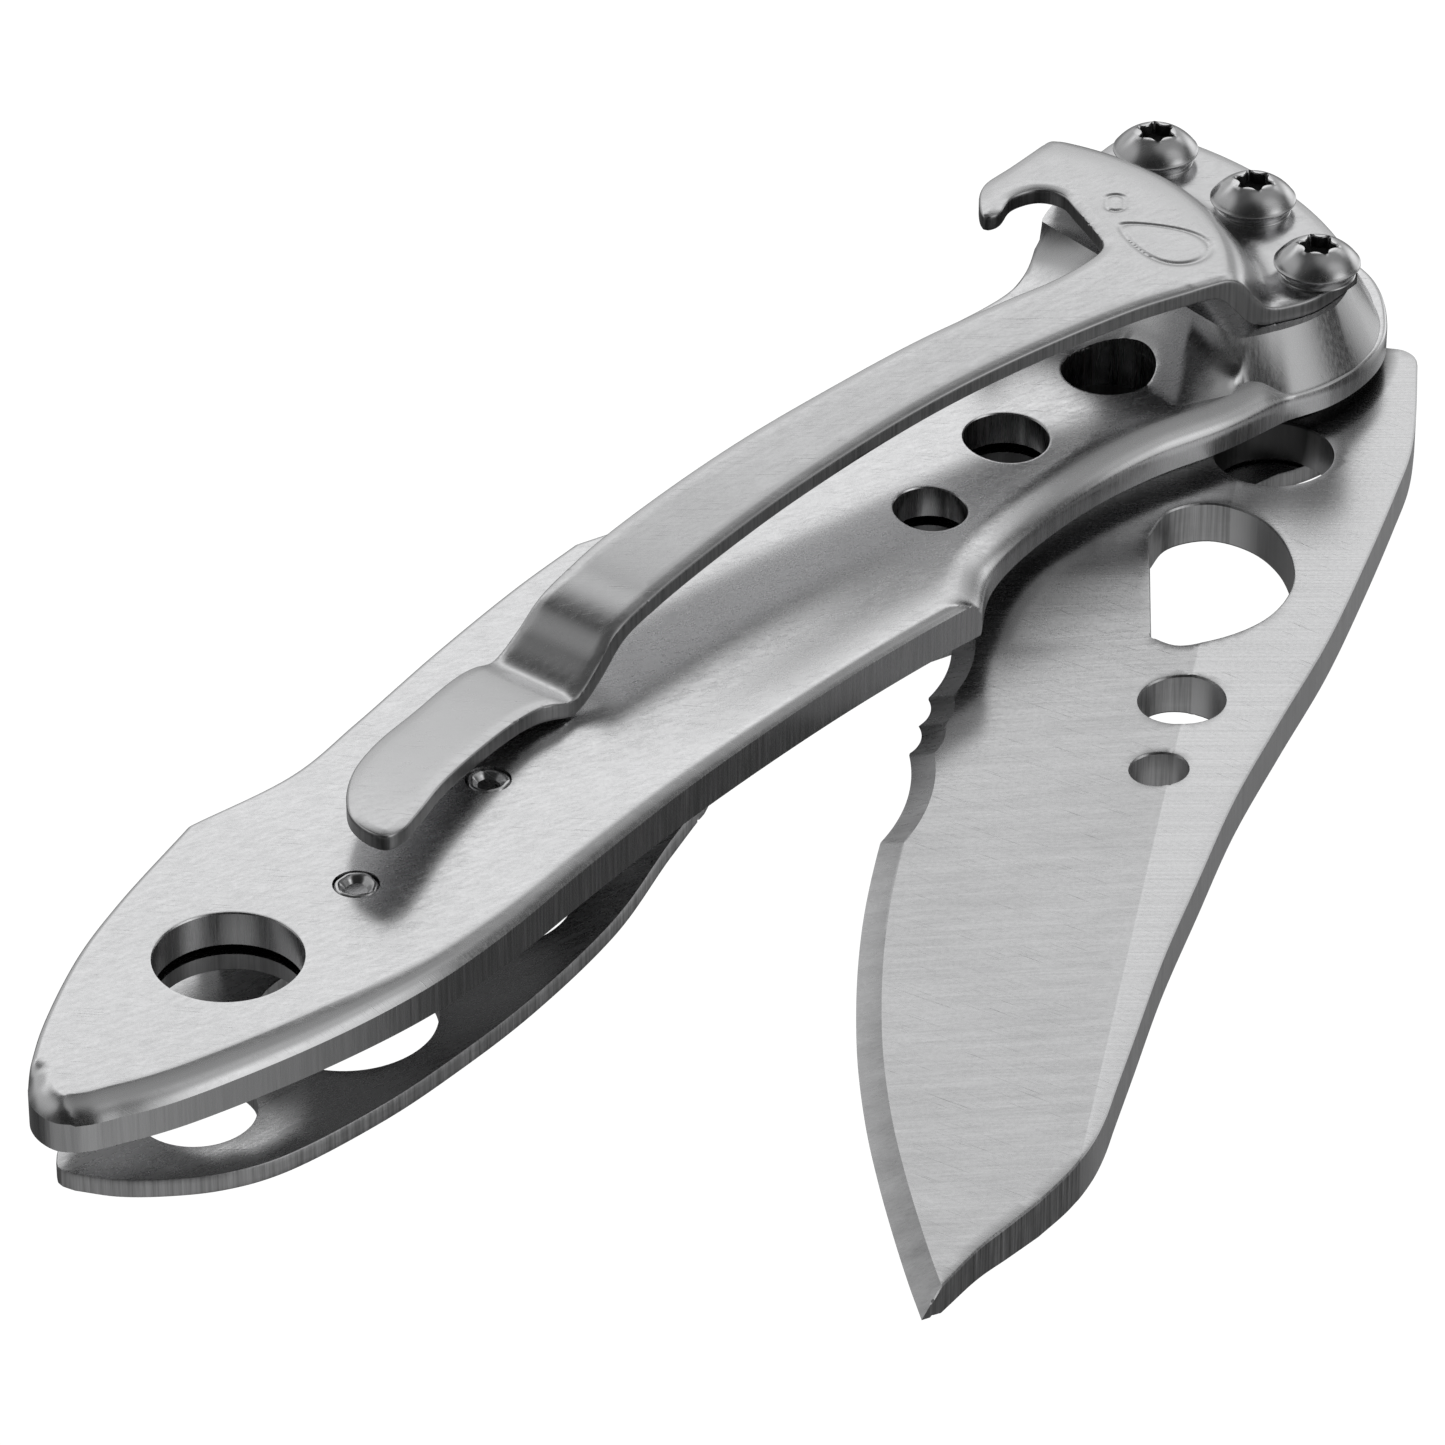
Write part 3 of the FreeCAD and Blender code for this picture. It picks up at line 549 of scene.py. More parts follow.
def scale_runs():
    """The front scale's outline as runs, counter-clockwise from the nose."""
    tail = catmull([(-11.71, -2.4), (-11.13, -2.85), (-10.18, -3.32), (-8.85, -3.99), (-6.95, -4.72),
                    (-1.3, -6.25), (4.3, -7.15), (9.3, -7.2), (14.9, -6.75), (22.4, -6.3),
                    (31.2, -6.3), (37.4, -6.65), (41.0, -7.05)])
    choil = catmull([(41.0, -7.05), (43.7, -5.45), (46.8, -4.7), (52.0, -4.5), (56.2, -5.1), (60.0, -6.2),
                     polar(END_R, 243)])
    end = catmull([polar(END_R, a) for a in (243, 260, 277, 292)]
                  + [polar(FAR_R, a) for a in (306, 320, 333)]
                  + [(76.0, -0.4), (76.5, 3.6), (75.4, 7.6), (72.4, 9.5)])
    fore = catmull([(72.4, 9.5), (68.8, 9.3), (65.2, 8.6), (62.2, 7.95), (60.4, 7.95), (57.5, 8.25),
                    (50.0, 8.8), (42.0, 9.0), (34.7, 8.8)])
    rear = catmull([(33.2, 9.4), (28.7, 9.15), (22.5, 8.45), (16.2, 7.5), (11.6, 6.95), (6.0, 7.75)])
    nose = catmull([(6.0, 7.75), (0.0, 6.2), (-3.8, 4.9), (-8.4, 2.6), (-11.08, 0.83)])
    cap = catmull([(-11.08, 0.83), (-11.77, 0.08), (-12.12, -0.76), (-12.13, -1.7), (-11.71, -2.4)], 0.12)
    return tail, loop_open(choil, end), loop_open(fore, rear, nose), cap


def loop_open(*runs):
    return np.vstack([runs[0]] + [run[1:] for run in runs[1:]])


TAIL_SIDE, CHOIL_SIDE, SPINE_SIDE, CAP_SIDE = scale_runs()
SCALE_OUTLINE = resample(loop(TAIL_SIDE, CHOIL_SIDE, SPINE_SIDE, CAP_SIDE), 0.2)
LANYARD = (0.0, 0.0, 3.13)
RELIEF_HOLES = [(45.3, -0.8, 1.66), (52.05, 0.2, 1.95), (59.5, 0.08, 2.15)]
LINER_RIVETS = [(7.2, -0.6), (16.5, 0.2)]
RIVET_R = 1.0

# boss: rings of (degrees about the pivot, radius) at its foot and its crown
FOOT_RING = [(-115, 8.5), (-90, 8.55), (-75, 8.5), (-61, 8.3), (-48, 7.97), (-35, 7.95), (-24, 8.1),
             (-12, 8.4), (4, 8.7), (20, 8.9), (42, 9.0), (62, 8.9), (88, 8.5), (115, 8.0), (150, 7.6),
             (190, 7.6), (222, 8.0)]
CROWN_RING = [(-118, 7.45), (-90, 7.4), (-75, 7.1), (-61, 6.6), (-46, 6.2), (-33, 6.15), (-22, 6.2),
              (-10, 6.35), (4, 6.8), (18, 7.5), (38, 8.7), (58, 8.8), (88, 8.3), (115, 7.9), (150, 7.4),
              (190, 7.4), (220, 7.7)]
FOOT_Z = Z_SCALE + 1.25
# top line of the ramp: where it crosses y = RAMP_Y, and its lean towards the pivot end
RAMP_X, RAMP_Y = 62.1, -8.0
RAMP_LEAN = math.tan(math.radians(11))
RAMP_POWER = 2.4
CROWN_LEVELS = [0.3, 0.6, 0.85, 0.94]
SIDE_LEVELS = np.linspace(1.0, 2.0, 17)
SUNK_LEVELS = [2.1, 2.25, 2.5]
BOSS_REACH = 14.0


def ring_radius(ring, angle):
    """Radius of a closed ring of (degrees, radius) pairs at the given angles in degrees."""
    a = np.array([r[0] for r in ring], float)
    r = np.array([r[1] for r in ring], float)
    a = np.r_[a - 360, a, a + 360]
    r = np.r_[r, r, r]
    return np.interp((angle + 180) % 360 - 180, a, r)


def bevel(d, width, drop, crease, power):
    """Drop of a bevelled edge: a slope of crease at its inner line, steepening towards the outline."""
    t = 1 - np.clip(d / width, 0, 1)
    return -drop * (crease * t + (1 - crease) * t ** power)


def tail_bevel(x, d):
    """Crisp and deep round the tail, a small soft roll along the waist."""
    width = np.interp(x, [-8, 0, 12, 38], [1.12, 1.15, 0.85, 0.6])
    drop = np.interp(x, [-8, 0, 12, 30], [0.8, 0.74, 0.5, 0.32])
    crease = np.interp(x, [-8, -2, 5], [0.42, 0.3, 0.02])
    return bevel(d, width, drop, crease, 3.2)


def end_bevel(x, d):
    """The choil's wide round-over, fading out under the boss."""
    fade = smoothstep(61.0, 66.0, x)
    t = 1 - np.clip(d / (1.75 - 0.8 * fade), 0, 1)
    return -1.05 * (1 - np.sqrt(np.maximum(1 - (0.985 * t) ** 2, 0))) - 0.12 * t


def scale_top(x, y, d):
    """Top surface of the front scale: flat land, bevelled or rolled edges, lower land round the boss."""
    p = np.c_[x, y]
    z = np.minimum(tail_bevel(x, distance(p, [TAIL_SIDE], False)),
                   end_bevel(x, distance(p, [CHOIL_SIDE], False)))
    z = np.minimum(z, bevel(distance(p, [CAP_SIDE], False), 0.85, 0.72, 0.42, 3.2))
    z = z - round_edge(distance(p, [SPINE_SIDE], False), 0.3)
    # shallow valley along the middle of the waist, high land beside the clip
    along = smoothstep(16, 34, x) * (1 - smoothstep(50, 58, x))
    z = z - 0.3 * along * np.exp(-((y + 2.6) / 2.6) ** 2)
    angle = np.degrees(np.arctan2(y - PIVOT[1], x - PIVOT[0]))
    sector = smoothstep(-126, -112, angle) * (1 - smoothstep(34, 60, angle)) * (x > 60)
    rim = FOOT_Z - round_edge(d, 0.25)
    z = z * (1 - sector) + rim * sector
    for hx, hy, hr in [LANYARD] + RELIEF_HOLES:
        z = z - round_edge(np.maximum(np.hypot(x - hx, y - hy) - hr, 0), 0.07)
    return z


def boss():
    """Pivot boss: tapered cone on a rounded foot, running out to the handle in a concave ramp."""
    angles = np.arange(-180.0, 180.0, 1.5)
    levels = np.r_[CROWN_LEVELS, SIDE_LEVELS, SUNK_LEVELS]
    side = slice(len(CROWN_LEVELS), len(CROWN_LEVELS) + len(SIDE_LEVELS))
    shape = (len(SIDE_LEVELS), len(angles))
    limit = outline_reach(angles)
    points = np.array([[boss_point(level, a, far) for a, far in zip(angles, limit)] for level in levels])
    skin = points[side].reshape(-1, 4)
    land = scale_top(skin[:, 0], skin[:, 1], distance(skin[:, :2], [SCALE_OUTLINE])).reshape(shape)
    weight = skin[:, 3].reshape(shape)
    down = np.linspace(0, 1, len(SIDE_LEVELS))[:, None]
    sink = smoothstep(0.6, 1.0, down) * (weight > 0.01) * (angles < 0)
    height = points[side, :, 2] + land * weight * down ** 0.5
    points[side, :, 2] = height * (1 - sink) + (land - 0.03) * sink
    points[side.stop:, :, 2] = np.minimum(points[side.stop:, :, 2], points[side.stop - 1, :, 2] - 0.1)
    bm = bmesh.new()
    rows = [[bm.verts.new(q[:3] * MM) for q in row] for row in points]
    n = len(angles)
    for upper, lower in zip(rows[:-1], rows[1:]):
        for i in range(n):
            bm.faces.new((upper[i], lower[i], lower[(i + 1) % n], upper[(i + 1) % n]))
    bm.faces.new(rows[0])
    bm.faces.new(rows[-1][::-1])
    bmesh.ops.recalc_face_normals(bm, faces=bm.faces)
    obj = from_bmesh("pivot_boss", bm, 28)
    bore(obj, *RELIEF_HOLES[2])
    return place(obj, "handle", "scale_steel", "front_scale")


def outline_reach(angles):
    """Distance from the pivot to the scale's outline in each direction, at most BOSS_REACH.

    Towards the tail the outline is far away and the boss isn't limited by it."""
    rel = SCALE_OUTLINE - PIVOT
    around = np.degrees(np.arctan2(rel[:, 1], rel[:, 0]))
    order = np.argsort(around)
    order = order[rel[order, 0] > -BOSS_REACH]
    hit = np.interp(angles, around[order], np.hypot(rel[order, 0], rel[order, 1]))
    return np.where(np.abs(angles) > 150, BOSS_REACH, hit)


def bore(obj, x, y, radius):
    """Cuts a round upright hole through the piece."""
    bm = bmesh.new()
    bmesh.ops.create_cone(bm, cap_ends=True, segments=96, radius1=radius * MM, radius2=radius * MM,
                          depth=12 * MM, matrix=Matrix.Translation((x * MM, y * MM, 0)))
    drill = from_bmesh("drill", bm)
    cut = obj.modifiers.new("bore", "BOOLEAN")
    cut.operation = "DIFFERENCE"
    cut.solver = "EXACT"
    cut.object = drill
    bpy.context.view_layer.update()
    done = bpy.data.meshes.new_from_object(obj.evaluated_get(bpy.context.evaluated_depsgraph_get()))
    obj.modifiers.clear()
    obj.data = done
    bpy.data.objects.remove(drill)
    smooth(obj, 28)


def boss_point(level, a, limit):
    """Point of the boss's skin at angle a, and how much it belongs to the ramp.

    Level 0-1 crosses the flat crown, 1-2 goes down the side, above 2 it is sunk in the scale."""
    t = math.radians(a)
    ux, uy = math.cos(t), math.sin(t)
    crown, foot = float(ring_radius(CROWN_RING, a)), float(ring_radius(FOOT_RING, a))
    # ramp's top line, crossed going away from the pivot on the handle's side
    slant = ux - uy * RAMP_LEAN
    offset = PIVOT[0] - RAMP_X - (PIVOT[1] - RAMP_Y) * RAMP_LEAN
    edge = offset / -slant if slant < -1e-3 else 99.0
    weight = 1 - float(smoothstep(-0.9, 0.9, edge - crown))
    top_r = min(crown, edge)
    # the ramp is short at the spine side
    length = (5.0 - 3.2 * float(smoothstep(2.0, 7.5, PIVOT[1] + top_r * uy))) / max(-slant, 0.45)
    flange = 0.85 if a < 0 else 0.03
    foot_r = foot * (1 - weight) + min(top_r + length, limit - flange) * weight
    if a < 0:
        length = foot_r - top_r
    if level <= 1:
        r = top_r * level
        z = BOSS_H - 0.4 * max(level - 0.85, 0)
        return PIVOT[0] + r * ux, PIVOT[1] + r * uy, z, weight
    u = min(level - 1, 1.0)
    r = top_r + (foot_r - top_r) * u
    cone_z = BOSS_H - 0.06 - (BOSS_H + 0.04 - FOOT_Z) * u
    ramp_z = (BOSS_H - 0.06) * max(1 - (r - top_r) / length, 0) ** RAMP_POWER - 0.01
    z = cone_z * (1 - weight) + ramp_z * weight - max(level - 2, 0) * 1.2
    return PIVOT[0] + r * ux, PIVOT[1] + r * uy, z, weight


def scale_bottom(x, y, d):
    """Flat underside with a shallow pocket inside its rim."""
    rim = distance(np.c_[x, y], [SCALE_OUTLINE])
    pocket = smoothstep(1.5, 1.75, rim) * smoothstep(7.9, 8.2, np.hypot(x - PIVOT[0], y - PIVOT[1]))
    for rx, ry in LINER_RIVETS:
        pocket = pocket * smoothstep(1.7, 1.9, np.hypot(x - rx, y - ry))
    return Z_SCALE + 0.5 * pocket


def front_scale():
    holes = [circle(*h) for h in [LANYARD] + RELIEF_HOLES]
    holes += [circle(x, y, RIVET_R) for x, y in LINER_RIVETS]
    rings = (0.04, 0.09, 0.15, 0.22, 0.31, 0.42, 0.56, 0.7, 0.85, 1.0, 1.1, 1.16, 1.35, 1.55, 1.75)
    obj = slab("front_scale_shell", SCALE_OUTLINE, holes, scale_top, scale_bottom, rings, 0.4, levels=3)
    smooth(obj, 24)
    return place(obj, "handle", "scale_steel", "front_scale")


def liner():
    ring = resample(SCALE_OUTLINE, 0.35)
    ring = resample(ring + normals_in(ring) * 1.2, 0.3)
    holes = [circle(*LANYARD)] + [circle(*h) for h in RELIEF_HOLES]
    obj = slab("liner_sheet", ring, holes, lambda x, y, d: Z_SCALE + 0 * x,
               lambda x, y, d: Z_LINER + round_edge(d, 0.05), (0.05,), 1.4)
    return place(obj, "handle", "liner_steel", "liner")


def rivet(k, x, y):
    """Staked rivet: a raised, slightly crushed ring round a shallow dish."""
    profile = [(0.0, -0.34), (0.3, -0.33), (0.48, -0.3), (0.6, -0.17), (0.68, -0.05), (0.76, -0.01),
               (0.85, -0.02), (0.93, -0.1), (0.985, -0.2), (0.99, -0.6), (0.99, -2.1)]
    def crush(radius, angle):
        return radius * (1 + 0.03 * math.sin(3 * angle + 4 * k) + 0.02 * math.sin(7 * angle + k))
    obj = lathe("liner_rivet_end_%d" % (k + 1), x, y, profile, 64, crush)
    return place(obj, "handle", "rivet_steel", "liner_rivet_%d" % (k + 1))


def lathe(name, x, y, profile, segments, shape=None):
    """Turned piece: (radius, z) profile from the centre of the top to the rim below."""
    bm = bmesh.new()
    rows = []
    for radius, z in profile:
        if radius < 1e-6:
            rows.append([bm.verts.new((x * MM, y * MM, z * MM))])
            continue
        row = []
        for s in range(segments):
            angle = 2 * math.pi * s / segments
            r = shape(radius, angle) if shape else radius
            row.append(bm.verts.new(((x + r * math.cos(angle)) * MM, (y + r * math.sin(angle)) * MM, z * MM)))
        rows.append(row)
    for upper, lower in zip(rows[:-1], rows[1:]):
        for s in range(segments):
            n = (s + 1) % segments
            if len(upper) == 1:
                bm.faces.new((upper[0], lower[s], lower[n]))
            elif len(lower) == 1:
                bm.faces.new((upper[s], lower[0], upper[n]))
            else:
                bm.faces.new((upper[s], lower[s], lower[n], upper[n]))
    if len(rows[-1]) > 1:
        bm.faces.new(rows[-1][::-1])
    return from_bmesh(name, bm)


# ---- back plate, lock bar, spacer

PLATE_HOLES = [(-3.5, -1.2, 2.5), (5.3, -1.6, 3.83), (15.4, -0.2, 3.96)]
LOCK_ROOT_X, LOCK_TOP_Y, LOCK_TIP_X, SLOT = 26.4, 1.3, 59.3, 0.6
TIP_LEAN = 0.9          # the lock bar's end leans back by this much from its lower corner
BARREL_HEAD_R = 3.5


def plate_sides():
    lower = catmull([(-9.9, -0.35), (-9.1, -1.95), (-7.8, -3.5), (-6.1, -4.95), (-3.8, -6.05), (1.6, -6.9),
                     (6.2, -7.0), (11.2, -6.75), (17.9, -5.7), (23.9, -3.8), (28.5, -2.6), (35.0, -2.2),
                     (41.0, -2.6), (44.5, -3.6), (48.0, -3.9), (53.0, -4.0), (58.5, -5.0), (61.5, -5.9),
                     polar(PLATE_R, 243)])
    end = arc(PIVOT, PLATE_R, 243, 350)
    upper = catmull([polar(PLATE_R, 350), (75.6, 3.2), (74.2, 7.0), (71.0, 8.9), polar(8.4, 100), (62.0, 7.7),
                     (54.0, 7.8), (44.0, 8.3), (33.0, 8.8), (22.5, 8.1), (11.6, 6.5), (5.8, 7.0)])
    tail = catmull([(5.8, 7.0), (0.0, 5.6), (-6.0, 3.4), (-9.4, 1.1)])
    return lower, end, upper, loop(tail, catmull([(-9.4, 1.1), (-10.0, 0.45), (-9.9, -0.35)], 0.12))


def plate_top(x, y, d):
    return Z_PLATE - round_edge(d, 0.08)


def plate_bottom(x, y, d):
    return Z_PLATE_LOW + round_edge(d, 0.12)


def back_plate():
    lower, end, upper, tail = plate_sides()
    slot_low = lower[lower[:, 0] < LOCK_ROOT_X]
    after = lower[lower[:, 0] > LOCK_TIP_X + SLOT]
    notch = [np.array([slot_low[-1], (LOCK_ROOT_X, slot_low[-1][1])]),
             straight((LOCK_ROOT_X, slot_low[-1][1] + 0.3), (LOCK_ROOT_X, LOCK_TOP_Y + SLOT)),
             straight((LOCK_ROOT_X, LOCK_TOP_Y + SLOT), (LOCK_TIP_X + SLOT - TIP_LEAN, LOCK_TOP_Y + SLOT)),
             straight((LOCK_TIP_X + SLOT - TIP_LEAN, LOCK_TOP_Y + SLOT), after[0])]
    ring = resample(loop(slot_low, *notch, after, end, upper, tail), 0.3)
    holes = [circle(*h) for h in PLATE_HOLES] + [circle(*PIVOT, BARREL_HEAD_R)]
    obj = slab("back_plate_sheet", ring, holes, plate_top, plate_bottom, (0.04, 0.1), 0.9, levels=3)
    return place(obj, "handle", "plate_steel", "back_plate")


def lock_bottom(x, y, d):
    groove = np.maximum(1.0 - (x - LOCK_ROOT_X - 1.7) ** 2, 0)
    return Z_PLATE_LOW + round_edge(d, 0.12) + np.maximum(np.sqrt(groove) - 0.6, 0)


def lock_bar():
    lower = plate_sides()[0]
    run = lower[(lower[:, 0] > LOCK_ROOT_X) & (lower[:, 0] < LOCK_TIP_X)]
    ring = loop(run, straight((LOCK_TIP_X, run[-1][1]), (LOCK_TIP_X - TIP_LEAN, LOCK_TOP_Y)),
                straight((LOCK_TIP_X - TIP_LEAN, LOCK_TOP_Y), (LOCK_ROOT_X, LOCK_TOP_Y)),
                straight((LOCK_ROOT_X, LOCK_TOP_Y), (LOCK_ROOT_X, run[0][1])))
    obj = slab("lock_bar_spring", resample(ring, 0.3), [], plate_top, lock_bottom, (0.04, 0.1), 0.5, levels=3)
    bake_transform(obj)
    finish_piece(obj, "plate_steel", "lock_bar")
    return obj


def spacer():
    outer = catmull([(4.8, 6.4), (6.4, 6.5), (8.6, 6.3), (11.6, 6.3), (16.2, 6.9), (22.5, 7.85), (28.7, 8.45),
                     (33.0, 8.6)])
    inner = catmull([(33.0, 8.05), (28.7, 7.72), (24.5, 7.0), (18.0, 6.3), (11.6, 5.5), (8.0, 5.1),
                     (4.8, 5.0)])
    obj = slab("spacer_bar", resample(loop(outer, inner), 0.25), [],
               lambda x, y, d: Z_LINER + 0 * x, lambda x, y, d: Z_PLATE + 0 * x, (0.06,), 0.5, levels=4)
    return place(obj, "handle", "hardware_steel", "spacer")


# ---- blade

BLADE_TIP = (3.26, -33.66)
BLADE_HALF = (Z_BLADE - Z_BLADE_LOW) / 2
BLADE_MIDDLE = (Z_BLADE + Z_BLADE_LOW) / 2
BORE_R = 2.44
GRIND_SLOPE = 0.072
BEVEL_W = 1.05          # width of the sharpened bevel
EDGE_POINTS = [BLADE_TIP, (4.77, -31.79), (7.27, -28.87), (9.43, -26.47), (11.65, -24.15), (14.9, -21.1),
               (18.3, -18.3), (21.4, -16.0), (24.4, -14.0), (28.7, -11.45), (33.2, -9.05), (37.2, -6.95),
               (41.2, -4.8), (45.8, -2.4)]
CUSPS = [(27.96, -11.87), (34.0, -8.62), (35.96, -7.6), (37.9, -6.58), (42.6, -4.05), (44.4, -3.13)]
TANG_R, SHOULDER_R, SHOULDER_ANGLE, KICK_ANGLE = 5.7, 8.5, 146.5, -50.3
BLADE_HOLES = [(62.4, -7.2, 2.73), (43.7, -16.05, 1.9), (38.8, -18.5, 1.27)]


def serrated(edge):
    """Moves the edge's points onto the round scallops between the cusps."""
    out = edge.copy()
    for first, last in zip(CUSPS[:-1], CUSPS[1:]):
        a, b = np.array(first), np.array(last)
        chord = np.linalg.norm(b - a)
        along = (b - a) / chord
        normal = np.array([along[1], -along[0]])
        sag = 0.2 + 0.05 * chord
        radius = (chord * chord / 4 + sag * sag) / (2 * sag)
        t = (out - a) @ along
        hit = (t >= 0) & (t <= chord) & (np.abs((out - a) @ normal) < 2)
        depth = np.sqrt(radius ** 2 - (t[hit] - chord / 2) ** 2) - (radius - sag)
        out[hit] = a + t[hit, None] * along + depth[:, None] * normal
    return out


def thumb_hole():
    start, end = (47.0, -11.9), (53.4, -6.95)
    bow = catmull([end, (55.5, -6.5), (57.2, -7.5), (57.65, -9.5), (56.8, -11.8), (54.4, -14.2),
                   (51.4, -15.05), (48.8, -14.5), (47.1, -13.3), start])
    return resample(loop(straight(start, end), bow), 0.25)


PLAIN_EDGE = catmull(EDGE_POINTS, 0.1)
SHARP_EDGE = serrated(PLAIN_EDGE)


def blade_outline():
    tip = polar(SHOULDER_R, SHOULDER_ANGLE)
    heel = straight(EDGE_POINTS[-1], tip)
    back = straight(tip, polar(TANG_R, SHOULDER_ANGLE))
    tang = arc(PIVOT, TANG_R, SHOULDER_ANGLE, KICK_ANGLE)
    kick = straight(polar(TANG_R, KICK_ANGLE), polar(SHOULDER_R, KICK_ANGLE))
    corner = catmull([polar(SHOULDER_R, KICK_ANGLE), (73.55, -6.5), (73.4, -7.25), (72.9, -7.75)], 0.15)
    spine = catmull([(72.9, -7.75), (68.9, -10.5), (66.3, -12.05), (63.2, -13.45), (57.75, -15.75),
                     (51.4, -18.25), (45.0, -20.35), (39.0, -22.4), (33.2, -24.8), (27.6, -27.15),
                     (22.4, -29.6), (19.1, -31.15), (17.3, -32.0), (15.68, -32.6), (13.67, -33.05),
                     (11.4, -33.25)])
    swedge = catmull([(11.4, -33.25), (9.4, -33.22), (7.6, -33.18), (5.4, -33.4), BLADE_TIP])
    return loop(SHARP_EDGE, heel, back, tang, kick, corner, spine, swedge)


def blade_cut(x, y):
    """Depth ground off one face: flat grind from its line to the edge, then the sharpening bevel."""
    rel = np.c_[x, y] - GRIND_START
    across = -rel[:, 0] * math.sin(GRIND_ANGLE) + rel[:, 1] * math.cos(GRIND_ANGLE)
    along = rel[:, 0] * math.cos(GRIND_ANGLE) + rel[:, 1] * math.sin(GRIND_ANGLE)
    plunge = 1 - smoothstep(37.0, 44.0, along + 0.12 * across)
    ground = GRIND_SLOPE * np.maximum(across, 0) * plunge + 0.02 * smoothstep(0.0, 0.12, across) * plunge
    d = distance(np.c_[x, y], [SHARP_EDGE], False)
    t = np.clip(1 - d / BEVEL_W, 0, 1)
    left = BLADE_HALF - ground
    return np.where(t > 0, ground + (left - 0.012) * t, ground)


def edge_row(offset, slack=0.985):
    """Points beside the sharp edge at that distance inside it, without folds at the cusps."""
    p = SHARP_EDGE[1:-1] - normals_in(SHARP_EDGE)[1:-1] * offset
    return p[distance(p, [SHARP_EDGE], False) > offset * slack]


def blade_rows():
    """Rows of points along the grind line and the bevel's shoulder."""
    u = np.array([math.cos(GRIND_ANGLE), math.sin(GRIND_ANGLE)])
    v = np.array([-u[1], u[0]])
    s = np.arange(-1.0, 36.0, 0.3)
    rows = [GRIND_START + s[:, None] * u + k * v for k in (-0.15, 0.0, 0.15)]
    for k in (BEVEL_W * 0.5, BEVEL_W - 0.1, BEVEL_W, BEVEL_W + 0.1):
        p = edge_row(k)
        gap = np.r_[1.0, np.linalg.norm(np.diff(p, axis=0), axis=1)]
        rows.append(p[gap > 0.03])
    return np.vstack(rows)


def blade():
    ring = resample(blade_outline(), 0.16)
    holes = [thumb_hole()] + [circle(*h) for h in BLADE_HOLES] + [circle(*PIVOT, BORE_R)]
    def top(x, y, d):
        z = Z_BLADE - blade_cut(x, y)
        edge = distance(np.c_[x, y], [SHARP_EDGE], False)
        return np.maximum(z - round_edge(d, 0.1) * (edge > 0.5), BLADE_MIDDLE + 0.01)
    def bottom(x, y, d):
        return 2 * BLADE_MIDDLE - top(x, y, d)
    shoulder = edge_row(BEVEL_W)
    shoulder = shoulder[inside(shoulder, ring)]
    shoulder = shoulder[distance(shoulder, [ring]) > 0.1][::2]
    obj = slab("blade_steel_body", ring, holes, top, bottom, (0.05, 0.11), 0.45, blade_rows(), levels=3,
               lines=[shoulder])
    smooth(obj, 14)
    place(obj, "blade", "blade_steel", "blade")
    obj.data.materials.append(BEVEL_FINISH)
    centres = np.array([f.center[:] for f in obj.data.polygons]) / MM
    near = distance(centres[:, :2], [SHARP_EDGE], False) < BEVEL_W - 0.02
    for face in obj.data.polygons:
        if near[face.index] and abs(face.normal.z) >= 0.5:
            face.material_index = 1
    return obj


# ---- clip

CLIP_SCREWS = [(72.05, 7.0), (71.3, 0.8), (68.5, -4.9)]
HEAD_R, HEAD_H = 2.0, 1.1   # button heads of the clip's screws
RIM_H = 0.55                # height of a head's rim above the clip's base
BASE_R = 18.15              # outer edge of the base, about CLIP_CENTRE
BEND_X = 61.0               # the arm's profile is along X up to here, the head's is round CLIP_CENTRE
# (x or radius, height) along the clip's upper and lower faces
ARM_TOP = [(7.0, 2.38), (7.9, 2.35), (11.0, 2.2), (15.0, 1.85), (19.5, 1.4), (21.4, 1.15), (22.6, 0.88),
           (24.2, 1.55), (25.8, 2.45), (28.5, 2.85), (35.0, 3.42), (45.0, 4.1), (55.0, 4.72), (61.0, 5.0),
           (64.0, 5.02)]
ARM_UNDER = [(7.0, 1.57), (7.9, 1.55), (11.0, 1.4), (15.0, 1.05), (19.3, 0.6), (21.2, 0.33), (22.6, 0.07),
             (24.6, 0.72), (26.4, 1.68), (28.8, 2.05), (35.0, 2.62), (45.0, 3.3), (55.0, 3.92), (61.0, 4.2),
             (64.0, 4.22)]
HEAD_TOP = [(0.0, 5.0), (8.0, 5.0), (11.2, 4.99), (11.9, 4.9), (12.45, 4.55), (13.1, 3.65), (13.6, 3.12),
            (14.1, 2.93), (14.8, 2.9), (22.0, 2.9)]
HEAD_UNDER = [(0.0, 4.2), (8.0, 4.2), (10.8, 4.19), (11.35, 4.08), (11.75, 3.75), (12.4, 2.85),
              (12.9, 2.32), (13.5, 2.12), (14.2, 2.1), (22.0, 2.1)]


def profile_height(points, values):
    line = catmull(points, 0.05)
    return np.interp(values, line[:, 0], line[:, 1])


